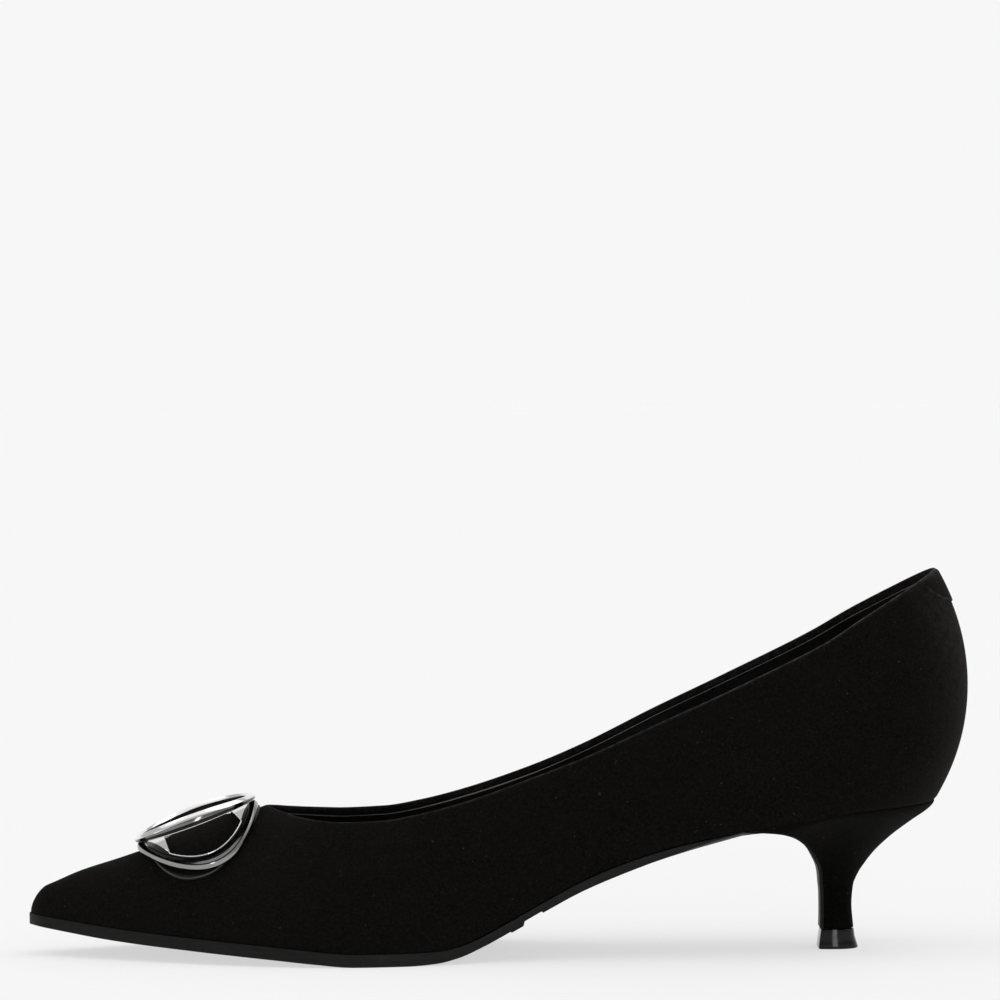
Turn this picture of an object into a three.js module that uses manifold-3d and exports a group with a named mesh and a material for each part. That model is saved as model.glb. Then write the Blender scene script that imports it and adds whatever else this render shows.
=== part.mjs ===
// Kitten heel pump, a left shoe: pointed toe, covered heel, double ring on the vamp.
// Millimetres. +X runs to the toe, +Y to the wearer's left (the outer side), +Z up.
// The origin is the middle of the heel top piece's face on the floor.
import * as THREE from 'three';
import { mergeVertices } from 'three/addons/utils/BufferGeometryUtils.js';
import Module from 'manifold-3d';

const wasm = await Module();
wasm.setup();

// Driving sizes of the last
const lastLength = 244.8;
const heelSetback = 26.1;
const ballWidth = 71;
const seatWidth = 51;
const heelHeight = 39.9;
const toeSpring = 7.7;
const toeDrift = 2;
const noseRadius = 4.6;
const noseHeight = 6;

// Driving sizes of the upper
const upperWall = 1.8;
const throatDepth = 34.6;
const throatPlace = 0.739;
const throatRound = 6;
const throatReach = 36;
const quarterHeight = 62.9;
const collarWidth = 47;
const collarRound = 34;
const collarSetback = 27;
const rimFold = 0.6;
const ankleDip = 1.3;

// Back tab
const tabHalfWidth = 12;
const tabDepth = 10.1;
const tabProud = 0.45;
const tabThickness = 0.8;

// Soles
const clearance = 0.3;
const soleThickness = 2.8;
const soleWelt = 0.4;
const insoleThickness = 2;
const insoleDish = 0.5;
const flapThickness = 0.8;
const flapInset = 0.5;
const flapShoulder = 2.6;
const breastBow = 1.1;

// Heel and top piece
const heelLip = 26;
const wingThickness = 0.3;
const neckFront = 4.1;
const neckBack = 4;
const neckHalfWidth = 4.7;
const topPieceHeight = 5.3;
const topPieceLength = 10.4;
const topPieceWidth = 10.6;
const topPieceTaper = 0.8;

// Ring ornament
const ornamentPlace = 0.8117;
const ringRadius = 17.3;
const ringWidth = 2.3;
const ringThickness = 1.35;
const ringChamfer = 0.25;
const upperRingArch = 1.6;
const upperRingFill = 1.25;
const upperRingLift = 1.65;
const heelSideStandoff = 0.25;
const toeSideStandoff = 2.6;
const ornamentShift = 2.4;
const ringSag = 0.15;
const flangeThickness = 0.7;
const flangeInner = 14.1;
const webReach = 9.6;
const padSetback = 1.8;
const padHalfLength = 15.8;
const padHalfWidth = 16.4;
const padThickness = 0.45;

// Colours and finishes
const suede = { color: 0x15120f, roughness: 0.95, metalness: 0 };
const soleFinish = { color: 0x2c2b2b, roughness: 0.5, metalness: 0 };
const sockFinish = { color: 0x14120f, roughness: 0.5, metalness: 0 };
const glossBlack = { color: 0x0b0b0c, roughness: 0.15, metalness: 0 };
const padFinish = { color: 0x101011, roughness: 0.45, metalness: 0 };
const gunmetal = { color: 0x8f8d90, roughness: 0.14, metalness: 1 };

// Plan outline of the seam between upper and sole. Places along the last are shares of its length,
// half widths are shares of the width that rules there.
const outlineRows = [
  { along: 0, lateral: 0.502, medial: 0.496 },
  { along: 0.10, lateral: 0.502, medial: 0.494 },
  { along: 0.17, lateral: 0.495, medial: 0.470 },
  { along: 0.25, lateral: 0.460, medial: 0.411 },
  { along: 0.33, lateral: 0.420, medial: 0.352 },
  { along: 0.40, lateral: 0.397, medial: 0.330 },
  { along: 0.457, lateral: 0.399, medial: 0.344 },
  { along: 0.50, lateral: 0.419, medial: 0.374 },
  { along: 0.545, lateral: 0.455, medial: 0.416 },
  { along: 0.59, lateral: 0.485, medial: 0.462 },
  { along: 0.638, lateral: 0.500, medial: 0.490 },
  { along: 0.68, lateral: 0.492, medial: 0.494 },
  { along: 0.726, lateral: 0.462, medial: 0.468 },
  { along: 0.772, lateral: 0.414, medial: 0.417 },
  { along: 0.857, lateral: 0.299, medial: 0.293 },
  { along: 0.90, lateral: 0.228, medial: 0.223 },
  { along: 0.944, lateral: 0.152, medial: 0.148 },
  { along: 0.978, lateral: 0.093, medial: 0.090 },
  { along: 1, lateral: 0.048, medial: 0.048 },
];

// Height of the same seam: the heel's lift behind the ball and the toe's lift before it.
const liftRows = [
  { along: 0, heel: 1, toe: 0 },
  { along: 0.06, heel: 0.982, toe: 0 },
  { along: 0.12, heel: 0.940, toe: 0 },
  { along: 0.22, heel: 0.830, toe: 0 },
  { along: 0.29, heel: 0.733, toe: 0 },
  { along: 0.34, heel: 0.632, toe: 0 },
  { along: 0.39, heel: 0.497, toe: 0 },
  { along: 0.43, heel: 0.360, toe: 0 },
  { along: 0.475, heel: 0.197, toe: 0 },
  { along: 0.50, heel: 0.113, toe: 0 },
  { along: 0.525, heel: 0.045, toe: 0 },
  { along: 0.55, heel: 0.010, toe: 0 },
  { along: 0.58, heel: 0, toe: 0 },
  { along: 0.638, heel: 0, toe: 0 },
  { along: 0.68, heel: 0, toe: 0.104 },
  { along: 0.726, heel: 0, toe: 0.234 },
  { along: 0.814, heel: 0, toe: 0.44 },
  { along: 0.90, heel: 0, toe: 0.65 },
  { along: 1, heel: 0, toe: 1 },
];

// Topline behind the throat: height from throat to back, opening half width, outer side's dip.
const toplineRows = [
  { along: 0, rise: 1, width: 1, dip: 0 },
  { along: 0.04, rise: 0.914, width: 1, dip: 0.2 },
  { along: 0.087, rise: 0.813, width: 1, dip: 0.6 },
  { along: 0.13, rise: 0.714, width: 1, dip: 1 },
  { along: 0.22, rise: 0.540, width: 1, dip: 1 },
  { along: 0.305, rise: 0.386, width: 0.97, dip: 0.8 },
  { along: 0.39, rise: 0.226, width: 0.91, dip: 0.3 },
  { along: 0.45, rise: 0.132, width: 0.89, dip: 0 },
  { along: 0.52, rise: 0.040, width: 0.94, dip: 0 },
  { along: 0.57, rise: -0.007, width: 0.97, dip: 0 },
  { along: 0.61, rise: -0.031, width: 0.98, dip: 0 },
  { along: 0.655, rise: -0.036, width: 0.94, dip: 0 },
  { along: 0.68, rise: -0.030, width: 0.84, dip: 0 },
  { along: 0.702, rise: -0.020, width: 0.65, dip: 0 },
  { along: 0.72, rise: -0.008, width: 0.41, dip: 0 },
  { along: 0.739, rise: 0, width: 0.18, dip: 0 },
];

// Vamp ridge before the throat, above the seam, as a share of the throat's depth, and how full
// the cross section is: 2 is an ellipse, less is more peaked. Behind the throat the ridge is open
// and its rows only carry its slope on.
const vampRows = [
  { along: 0, ridge: 1.45, fullness: 2 },
  { along: 0.45, ridge: 1.45, fullness: 2 },
  { along: 0.56, ridge: 1.4, fullness: 2.08 },
  { along: 0.66, ridge: 1.25, fullness: 2 },
  { along: 0.70, ridge: 1.124, fullness: 1.85 },
  { along: 0.72, ridge: 1.061, fullness: 1.68 },
  { along: 0.739, ridge: 1, fullness: 1.54 },
  { along: 0.76, ridge: 0.936, fullness: 1.46 },
  { along: 0.78, ridge: 0.873, fullness: 1.46 },
  { along: 0.815, ridge: 0.769, fullness: 1.6 },
  { along: 0.857, ridge: 0.642, fullness: 1.78 },
  { along: 0.895, ridge: 0.528, fullness: 1.82 },
  { along: 0.944, ridge: 0.382, fullness: 1.9 },
  { along: 0.978, ridge: 0.252, fullness: 2.05 },
  { along: 1, ridge: 0.173, fullness: 2.2 },
];

// Quarter walls: how the side leaves the seam and reaches the topline, as shares of its height.
const wallRows = [
  { along: 0, lift: 0.335, flare: 0.205, drop: 0.31, lean: 0.172 },
  { along: 0.05, lift: 0.335, flare: 0.18, drop: 0.31, lean: 0.16 },
  { along: 0.11, lift: 0.33, flare: 0.115, drop: 0.30, lean: 0.12 },
  { along: 0.20, lift: 0.33, flare: 0.06, drop: 0.30, lean: 0.09 },
  { along: 0.35, lift: 0.33, flare: 0.04, drop: 0.30, lean: 0.09 },
  { along: 0.54, lift: 0.38, flare: 0.03, drop: 0.30, lean: 0.20 },
];

// Heel block from its seat down to the top piece. Each column is the share of the seat's overhang
// past the neck that is left at that level, behind, beside, and at the front's middle and corners.
const heelRows = [
  { down: 0, back: 1, side: 1, front: 1, wing: 1 },
  { down: 0.012, back: 0.985, side: 0.985, front: 0.63, wing: 0.94 },
  { down: 0.035, back: 0.955, side: 0.955, front: 0.49, wing: 0.86 },
  { down: 0.07, back: 0.89, side: 0.89, front: 0.38, wing: 0.74 },
  { down: 0.12, back: 0.775, side: 0.79, front: 0.28, wing: 0.60 },
  { down: 0.18, back: 0.645, side: 0.67, front: 0.197, wing: 0.45 },
  { down: 0.25, back: 0.50, side: 0.53, front: 0.125, wing: 0.31 },
  { down: 0.32, back: 0.375, side: 0.41, front: 0.075, wing: 0.21 },
  { down: 0.39, back: 0.265, side: 0.30, front: 0.035, wing: 0.13 },
  { down: 0.47, back: 0.165, side: 0.19, front: 0.014, wing: 0.07 },
  { down: 0.57, back: 0.062, side: 0.09, front: 0.005, wing: 0.03 },
  { down: 0.67, back: 0, side: 0.03, front: -0.004, wing: 0.005 },
  { down: 0.82, back: -0.02, side: 0, front: -0.005, wing: 0 },
  { down: 1, back: 0, side: 0, front: 0, wing: 0 },
];

// Outsole thickness as a share of soleThickness, in the middle and at its edge. The rows at 0.455
// to 0.472 are the proud tab and the groove where the forepart ends.
const soleRows = [
  { along: 0.217, middle: 0.55, edge: 0.07, welt: -3.2 },
  { along: 0.25, middle: 0.72, edge: 0.25, welt: -1.1 },
  { along: 0.30, middle: 0.92, edge: 0.72, welt: -0.2 },
  { along: 0.36, middle: 1, edge: 0.93, welt: 0 },
  { along: 0.4335, middle: 1, edge: 0.93, welt: 0 },
  { along: 0.4355, middle: 0.78, edge: 0.74, welt: 0 },
  { along: 0.4535, middle: 0.78, edge: 0.74, welt: 0 },
  { along: 0.4555, middle: 1.13, edge: 1.13, welt: 0.4 },
  { along: 0.4675, middle: 1.13, edge: 1.13, welt: 0.4 },
  { along: 0.4695, middle: 1, edge: 0.98, welt: 0.2 },
  { along: 0.52, middle: 1, edge: 0.96, welt: 0.4 },
  { along: 0.90, middle: 1, edge: 0.94, welt: 1 },
  { along: 1, middle: 0.86, edge: 0.80, welt: 1 },
];

// Smooth curve through one column of a table, without overshoot
function smoothColumn(rows, key, column) {
  const places = rows.map((row) => row[key]);
  const values = rows.map((row) => row[column]);
  const last = rows.length - 1;
  const secants = values.slice(1).map((value, i) => (value - values[i]) / (places[i + 1] - places[i]));
  const slopes = values.map((value, i) => {
    if (i === 0) return secants[0];
    if (i === last) return secants[last - 1];
    const before = secants[i - 1];
    const after = secants[i];
    return before * after <= 0 ? 0 : (2 * before * after) / (before + after);
  });
  return (place) => {
    if (place <= places[0]) return values[0];
    if (place >= places[last]) return values[last];
    const i = places.findIndex((edge) => edge > place) - 1;
    const span = places[i + 1] - places[i];
    const s = (place - places[i]) / span;
    const rest = 1 - s;
    return values[i] * (1 + 2 * s) * rest * rest
      + slopes[i] * span * s * rest * rest
      + values[i + 1] * s * s * (3 - 2 * s)
      - slopes[i + 1] * span * s * s * rest;
  };
}

const lateralShare = smoothColumn(outlineRows, 'along', 'lateral');
const medialShare = smoothColumn(outlineRows, 'along', 'medial');
const heelLift = smoothColumn(liftRows, 'along', 'heel');
const toeLift = smoothColumn(liftRows, 'along', 'toe');
const toplineRise = smoothColumn(toplineRows, 'along', 'rise');
const toplineWidth = smoothColumn(toplineRows, 'along', 'width');
const toplineDip = smoothColumn(toplineRows, 'along', 'dip');
const ridgeShare = smoothColumn(vampRows, 'along', 'ridge');
const fullnessAt = smoothColumn(vampRows, 'along', 'fullness');
const wallLift = smoothColumn(wallRows, 'along', 'lift');
const wallFlare = smoothColumn(wallRows, 'along', 'flare');
const wallDrop = smoothColumn(wallRows, 'along', 'drop');
const wallLean = smoothColumn(wallRows, 'along', 'lean');
const soleMiddle = smoothColumn(soleRows, 'along', 'middle');
const soleEdge = smoothColumn(soleRows, 'along', 'edge');
const soleReach = smoothColumn(soleRows, 'along', 'welt');

const lateral = 1;
const medial = -1;

function mix(a, b, share) {
  return a + (b - a) * share;
}

function ease(from, to, value) {
  const s = THREE.MathUtils.clamp((value - from) / (to - from), 0, 1);
  return s * s * (3 - 2 * s);
}

// A half width that closes to nothing over a round end
function roundEnd(distance, radius) {
  const left = 1 - THREE.MathUtils.clamp(distance / radius, 0, 1);
  return Math.sqrt(1 - left * left);
}

function placeX(along) {
  return along * lastLength - heelSetback;
}

function alongAt(x) {
  return (x + heelSetback) / lastLength;
}

// Height of the seam between the upper and what it stands on
function seamHeight(x) {
  const along = alongAt(x);
  const ball = soleThickness + clearance;
  return ball + (heelHeight - ball) * heelLift(along) + toeSpring * toeLift(along);
}

function centreLine(along) {
  const forward = THREE.MathUtils.clamp((along - 0.6) / 0.4, 0, 1);
  return -toeDrift * forward ** 1.5;
}

function seamHalfWidth(side, along) {
  const width = mix(seatWidth, ballWidth, ease(0.15, 0.6, along));
  const share = side === lateral ? lateralShare(along) : medialShare(along);
  const heelEnd = roundEnd(along * lastLength, seatWidth / 2);
  const noseEnd = roundEnd((1 - along) * lastLength, noseRadius);
  return width * share * heelEnd * noseEnd;
}

// Plan direction in which the wall stands out from the last: radial round the heel
function outward(side, along) {
  const left = 1 - THREE.MathUtils.clamp((along * lastLength) / (seatWidth / 2), 0, 1);
  return new THREE.Vector2(-left, side * Math.sqrt(1 - left * left));
}

// Top of the wall: the ridge before the throat, the topline behind it
function wallTop(side, along) {
  if (along >= throatPlace) {
    const nose = noseHeight / throatDepth - 0.173;
    const ridge = throatDepth * (ridgeShare(along) + nose * ease(0.9, 1, along));
    const rise = ridge * roundEnd((1 - along) * lastLength, noseRadius);
    return new THREE.Vector3(placeX(along), centreLine(along), seamHeight(placeX(along)) + rise);
  }
  const throatHeight = seamHeight(placeX(throatPlace)) + throatDepth;
  const backHeight = heelHeight + quarterHeight;
  const dip = side === lateral ? ankleDip * toplineDip(along) : 0;
  const setBack = (heelSetback - collarSetback) * (1 - ease(0, 0.25, along));
  const x = placeX(along) + setBack;
  const throatEnd = roundEnd((throatPlace - along) * lastLength, throatRound);
  const backEnd = roundEnd(along * lastLength, collarRound);
  const reach = (collarWidth / 2) * toplineWidth(along) * throatEnd * backEnd;
  const fold = rimFold * ease(0, throatRound, (throatPlace - along) * lastLength);
  const z = mix(throatHeight, backHeight, toplineRise(along)) - dip - fold;
  return new THREE.Vector3(x, centreLine(along) + side * reach, z);
}

// Bulging side of the quarter, from the seam (up 0) to the topline (up 1)
function quarterPoint(side, along, up) {
  const x = placeX(along);
  const seam = new THREE.Vector3(x, centreLine(along) + side * seamHalfWidth(side, along), seamHeight(x));
  const top = wallTop(side, along);
  const height = top.z - seam.z;
  const out = outward(side, along);
  const lower = seam.clone();
  lower.x += out.x * wallFlare(along) * height;
  lower.y += out.y * wallFlare(along) * height;
  lower.z += wallLift(along) * height;
  const upper = top.clone();
  upper.x += out.x * wallLean(along) * height;
  upper.y += out.y * wallLean(along) * height;
  upper.z -= wallDrop(along) * height;
  const rest = 1 - up;
  return seam.multiplyScalar(rest ** 3)
    .addScaledVector(lower, 3 * rest * rest * up)
    .addScaledVector(upper, 3 * rest * up * up)
    .addScaledVector(top, up ** 3);
}

// Domed side of the vamp: part of a superellipse that stands upright on the seam
function vampPoint(side, along, up) {
  const x = placeX(along);
  const seamReach = seamHalfWidth(side, along);
  const top = wallTop(side, along);
  const full = fullnessAt(along);
  const topReach = Math.abs(top.y - centreLine(along));
  const ratio = Math.min(topReach / Math.max(seamReach, 1e-9), 0.985);
  const edge = (1 - ratio ** full) ** (1 / full);
  const crest = (top.z - seamHeight(x)) / edge;
  const angle = up * Math.atan2(edge, ratio);
  const c = Math.cos(angle);
  const s = Math.sin(angle);
  const size = (Math.abs(c) ** full + Math.abs(s) ** full) ** (1 / full);
  const reach = (seamReach * c) / size;
  return new THREE.Vector3(x, centreLine(along) + side * reach, seamHeight(x) + (crest * s) / size);
}

// Outer surface of the upper
function wallPoint(side, along, up) {
  const domed = ease(0.42, 0.54, along);
  if (domed === 0) return quarterPoint(side, along, up);
  if (domed === 1) return vampPoint(side, along, up);
  return quarterPoint(side, along, up).lerp(vampPoint(side, along, up), domed);
}

function wallNormal(side, along, up) {
  if (along > 1 - 1e-6) return new THREE.Vector3(1, 0, 0);
  const step = 1e-5;
  const rowStep = 1e-3;
  const run = wallPoint(side, Math.min(along + step, 1), up)
    .sub(wallPoint(side, Math.max(along - step, 0), up));
  const rise = wallPoint(side, along, Math.min(up + rowStep, 1.2))
    .sub(wallPoint(side, along, Math.max(up - rowStep, 0)));
  const normal = rise.cross(run).multiplyScalar(side);
  const onMiddle = along === 0 || (up === 1 && along >= throatPlace);
  if (onMiddle) normal.y = 0;
  return normal.normalize();
}

function offsetPoint(side, along, up, offset) {
  return wallPoint(side, along, up).addScaledVector(wallNormal(side, along, up), offset);
}

// Seam outline moved inwards in plan
function seamInset(side, along, inset) {
  const step = 1e-5;
  const here = quarterPoint(side, along, 0);
  if (along > 1 - 1e-6) return here.setX(here.x - inset);
  const run = quarterPoint(side, Math.min(along + step, 1), 0)
    .sub(quarterPoint(side, Math.max(along - step, 0), 0));
  const inner = new THREE.Vector2(run.y, -run.x).multiplyScalar(side).normalize();
  if (along === 0) inner.set(1, 0);
  here.x += inner.x * inset;
  here.y += inner.y * inset;
  here.z = seamHeight(here.x);
  return here;
}

// Places along the last, dense where an end is round
function stations(heelSteps, quarterSteps, throatSteps, vampSteps, noseSteps) {
  const heelEnd = seatWidth / 2 / lastLength;
  const throatStart = throatPlace - throatReach / lastLength;
  const noseStart = 1 - noseRadius / lastLength;
  const quarter = Math.PI / 2;
  const list = [];
  for (let i = 0; i < heelSteps; i += 1) list.push(heelEnd * (1 - Math.cos((quarter * i) / heelSteps)));
  for (let i = 0; i < quarterSteps; i += 1) list.push(mix(heelEnd, throatStart, i / quarterSteps));
  for (let i = 0; i < throatSteps; i += 1) {
    list.push(mix(throatStart, throatPlace, Math.sin((quarter * i) / throatSteps)));
  }
  for (let i = 0; i < vampSteps; i += 1) list.push(mix(throatPlace, noseStart, i / vampSteps));
  for (let i = 0; i < noseSteps; i += 1) {
    list.push(mix(noseStart, 1, Math.sin((quarter * i) / noseSteps)));
  }
  list.push(1);
  return list;
}

// A closed mesh from loose triangles: shared corners are joined and empty triangles dropped
class Shell {
  constructor() {
    this.positions = [];
    this.index = [];
    this.known = new Map();
  }

  corner(point) {
    const key = [point.x, point.y, point.z].map((value) => Math.round(value * 2e4)).join(',');
    if (!this.known.has(key)) {
      this.known.set(key, this.positions.length / 3);
      this.positions.push(point.x, point.y, point.z);
    }
    return this.known.get(key);
  }

  triangle(a, b, c) {
    const corners = [this.corner(a), this.corner(b), this.corner(c)];
    if (new Set(corners).size === 3) this.index.push(...corners);
  }

  quad(a, b, c, d) {
    this.triangle(a, b, c);
    this.triangle(a, c, d);
  }

  geometry() {
    const geometry = new THREE.BufferGeometry();
    geometry.setAttribute('position', new THREE.Float32BufferAttribute(this.positions, 3));
    geometry.setIndex(this.index);
    return geometry;
  }
}

// A closed body from closed rings of corners, one after another, with flat ends
function loft(rings) {
  const shell = new Shell();
  for (let i = 0; i + 1 < rings.length; i += 1) {
    const count = rings[i].length;
    for (let j = 0; j < count; j += 1) {
      const next = (j + 1) % count;
      shell.quad(rings[i][j], rings[i][next], rings[i + 1][next], rings[i + 1][j]);
    }
  }
  const first = rings[0];
  const final = rings[rings.length - 1];
  for (let j = 1; j + 1 < first.length; j += 1) {
    shell.triangle(first[0], first[j + 1], first[j]);
    shell.triangle(final[0], final[j], final[j + 1]);
  }
  return shell.geometry();
}

// A closed body between two grids of the same size, walled all round
function slab(outer, inner) {
  const shell = new Shell();
  const lastColumn = outer.length - 1;
  const lastRow = outer[0].length - 1;
  for (let c = 0; c < lastColumn; c += 1) {
    for (let r = 0; r < lastRow; r += 1) {
      shell.quad(outer[c][r], outer[c + 1][r], outer[c + 1][r + 1], outer[c][r + 1]);
      shell.quad(inner[c][r], inner[c][r + 1], inner[c + 1][r + 1], inner[c + 1][r]);
    }
    shell.quad(outer[c + 1][0], outer[c][0], inner[c][0], inner[c + 1][0]);
    shell.quad(outer[c][lastRow], outer[c + 1][lastRow], inner[c + 1][lastRow], inner[c][lastRow]);
  }
  for (let r = 0; r < lastRow; r += 1) {
    shell.quad(outer[0][r], outer[0][r + 1], inner[0][r + 1], inner[0][r]);
    shell.quad(outer[lastColumn][r + 1], outer[lastColumn][r], inner[lastColumn][r], inner[lastColumn][r + 1]);
  }
  return shell.geometry();
}

function toManifold(geometry) {
  const bare = geometry.clone();
  bare.deleteAttribute('normal');
  bare.deleteAttribute('uv');
  const merged = mergeVertices(bare, 1e-5);
  return new wasm.Manifold(new wasm.Mesh({
    numProp: 3,
    vertProperties: new Float32Array(merged.attributes.position.array),
    triVerts: new Uint32Array(merged.index.array),
  }));
}

function fromManifold(solid) {
  const mesh = solid.getMesh();
  const geometry = new THREE.BufferGeometry();
  geometry.setAttribute('position', new THREE.BufferAttribute(new Float32Array(mesh.vertProperties), 3));
  geometry.setIndex(new THREE.BufferAttribute(new Uint32Array(mesh.triVerts), 1));
  return geometry;
}

// Upper: hollow shell, open below and at the collar
const upperRows = 9;
const upperStations = stations(7, 13, 9, 9, 4);

function upperColumns() {
  const lateralColumns = [...upperStations].reverse().map((along) => ({ side: lateral, along }));
  const medialColumns = upperStations.slice(1).map((along) => ({ side: medial, along }));
  return [...lateralColumns, ...medialColumns];
}

function upperShell() {
  const columns = upperColumns().map(({ side, along }) => {
    const outer = [];
    const inner = [];
    for (let r = 0; r <= upperRows; r += 1) {
      outer.push(offsetPoint(side, along, r / upperRows, 0));
      inner.push(offsetPoint(side, along, r / upperRows, -upperWall));
    }
    inner[0].z = seamHeight(inner[0].x);
    const top = outer[upperRows];
    return { outer, inner, top, normal: wallNormal(side, along, 1), open: along <= throatPlace };
  });
  const rim = columns.filter((column) => column.open);
  rim.forEach((column, i) => {
    const before = rim[i === 0 ? rim.length - 2 : i - 1].top;
    const after = rim[i === rim.length - 1 ? 1 : i + 1].top;
    const away = column.normal.clone().cross(after.clone().sub(before)).normalize();
    column.fold = column.top.clone().add(column.inner[upperRows]).multiplyScalar(0.5)
      .addScaledVector(away, rimFold);
  });
  const shell = new Shell();
  for (let c = 0; c + 1 < columns.length; c += 1) {
    const here = columns[c];
    const next = columns[c + 1];
    for (let r = 0; r < upperRows; r += 1) {
      shell.quad(here.outer[r], next.outer[r], next.outer[r + 1], here.outer[r + 1]);
      shell.quad(here.inner[r], here.inner[r + 1], next.inner[r + 1], next.inner[r]);
    }
    shell.quad(next.outer[0], here.outer[0], here.inner[0], next.inner[0]);
    if (here.open && next.open) {
      shell.quad(here.top, next.top, next.fold, here.fold);
      shell.quad(here.fold, next.fold, next.inner[upperRows], here.inner[upperRows]);
    }
  }
  return shell.geometry();
}

// Half-moon on the back of the collar: grid of the upper's own surface, moved out by offset
function tabGrid(offset, grow, topUp) {
  const columnCount = 14;
  const rowCount = 4;
  const backArc = quarterHeight * 1.08;
  const reach = tabHalfWidth + grow;
  const depth = (tabDepth + grow) / backArc;
  const widest = collarWidth / 2;
  const grid = [];
  for (let c = 0; c <= columnCount; c += 1) {
    const across = 1 - (2 * c) / columnCount;
    const sideways = (Math.abs(across) * reach) / widest;
    const along = (collarRound * (1 - Math.sqrt(1 - sideways * sideways))) / lastLength;
    const side = across >= 0 ? lateral : medial;
    const lowest = 1 - depth * Math.sqrt(Math.max(1 - across * across, 0));
    const column = [];
    for (let r = 0; r <= rowCount; r += 1) {
      column.push(offsetPoint(side, along, mix(lowest, topUp, r / rowCount), offset));
    }
    grid.push(column);
  }
  return grid;
}

function backTab() {
  return slab(tabGrid(tabProud, 0, 1), tabGrid(tabProud - tabThickness, 0, 1));
}

function tabRecess() {
  const floor = tabProud - tabThickness - clearance;
  return slab(tabGrid(2, clearance, 1.05), tabGrid(floor, clearance, 1.05));
}

// Insole: board and sock that fill the upper's foot, slightly dished, thinner to the toe
function insoleShape() {
  const inset = upperWall + clearance;
  const heelStart = 0.0006;
  const toeEnd = 0.968;
  const places = stations(7, 14, 4, 8, 3).filter((along) => along > heelStart && along < toeEnd - 0.01);
  const rings = [heelStart, ...places, toeEnd].map((along) => {
    const left = seamInset(lateral, along, inset);
    const right = seamInset(medial, along, inset);
    const middle = left.clone().lerp(right, 0.5);
    const thick = insoleThickness * mix(1, 0.6, ease(0.75, 0.97, along));
    const raise = (point, height) => point.clone().setZ(seamHeight(point.x) + height);
    const edgeIn = mix(0, 0.04, ease(0.6, 0.97, along));
    return [
      raise(left, 0),
      raise(left.clone().lerp(middle, edgeIn), thick),
      raise(middle, thick - insoleDish),
      raise(right.clone().lerp(middle, edgeIn), thick),
      raise(right, 0),
    ];
  });
  return loft(rings);
}

// Heel seat outline from the front corner round to the back, on one side, and the same on the neck
const heelStations = upperStations.filter((along) => placeX(along) < heelLip * 0.92);

function seatStations() {
  return [alongAt(heelLip), ...[...heelStations].reverse()];
}

const heelBack = smoothColumn(heelRows, 'down', 'back');
const heelSide = smoothColumn(heelRows, 'down', 'side');
const heelFront = smoothColumn(heelRows, 'down', 'front');
const heelWing = smoothColumn(heelRows, 'down', 'wing');

// Outline of the neck and top piece: nearly flat in front, round behind
function neckPoint(side, share, front, back, halfWidth) {
  const angle = (share * Math.PI) / 2;
  const straight = 0.35;
  const widest = mix(-back, front, 0.62);
  if (share < straight) {
    const t = share / straight;
    return new THREE.Vector2(mix(front, widest, t), side * halfWidth * mix(0.93, 1, Math.sin((t * Math.PI) / 2)));
  }
  const round = ((share - straight) / (1 - straight)) * (Math.PI / 2);
  const full = 2.4;
  const c = Math.cos(round);
  const s = Math.sin(round);
  const size = (c ** full + s ** full) ** (1 / full);
  return new THREE.Vector2(widest - (widest + back) * (s / size), side * halfWidth * (angle > 0 ? c / size : 1));
}

function heelPoint(side, index, down) {
  const list = seatStations();
  const share = index / (list.length - 1);
  const seat = seamInset(side, list[index], 0);
  seat.z -= clearance;
  const neck = neckPoint(side, share, neckFront, neckBack, neckHalfWidth);
  const fore = 1 - ease(0, 0.55, share);
  const hind = ease(0.45, 1, share);
  const along = mix(heelFront(down), heelBack(down), 1 - fore);
  const across = mix(mix(heelSide(down), heelWing(down), fore), heelBack(down), hind);
  const frontDrop = wingThickness * fore * Math.min(down / 0.012, 1);
  const bottom = topPieceHeight + clearance;
  return new THREE.Vector3(
    mix(neck.x, seat.x, along),
    mix(neck.y, seat.y, across),
    mix(seat.z, bottom, down) - frontDrop * (1 - down),
  );
}

// Middle of the heel's front face, bowed forward between its corners near the seat
function breastMiddle(down) {
  const left = heelPoint(lateral, 0, down);
  const right = heelPoint(medial, 0, down);
  const bow = breastBow * (1 - ease(0, 0.3, down)) * ease(-0.004, 0.012, down);
  const middle = left.lerp(right, 0.5);
  return middle.addScaledVector(breastDirection(down), bow);
}

// Direction square to the heel's front face, pointing away from the heel
function breastDirection(down) {
  const step = 0.004;
  const above = heelPoint(lateral, 0, Math.max(down - step, 0));
  const below = heelPoint(lateral, 0, Math.min(down + step, 1));
  const run = below.sub(above);
  return new THREE.Vector3(-run.z, 0, run.x).normalize();
}

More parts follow.
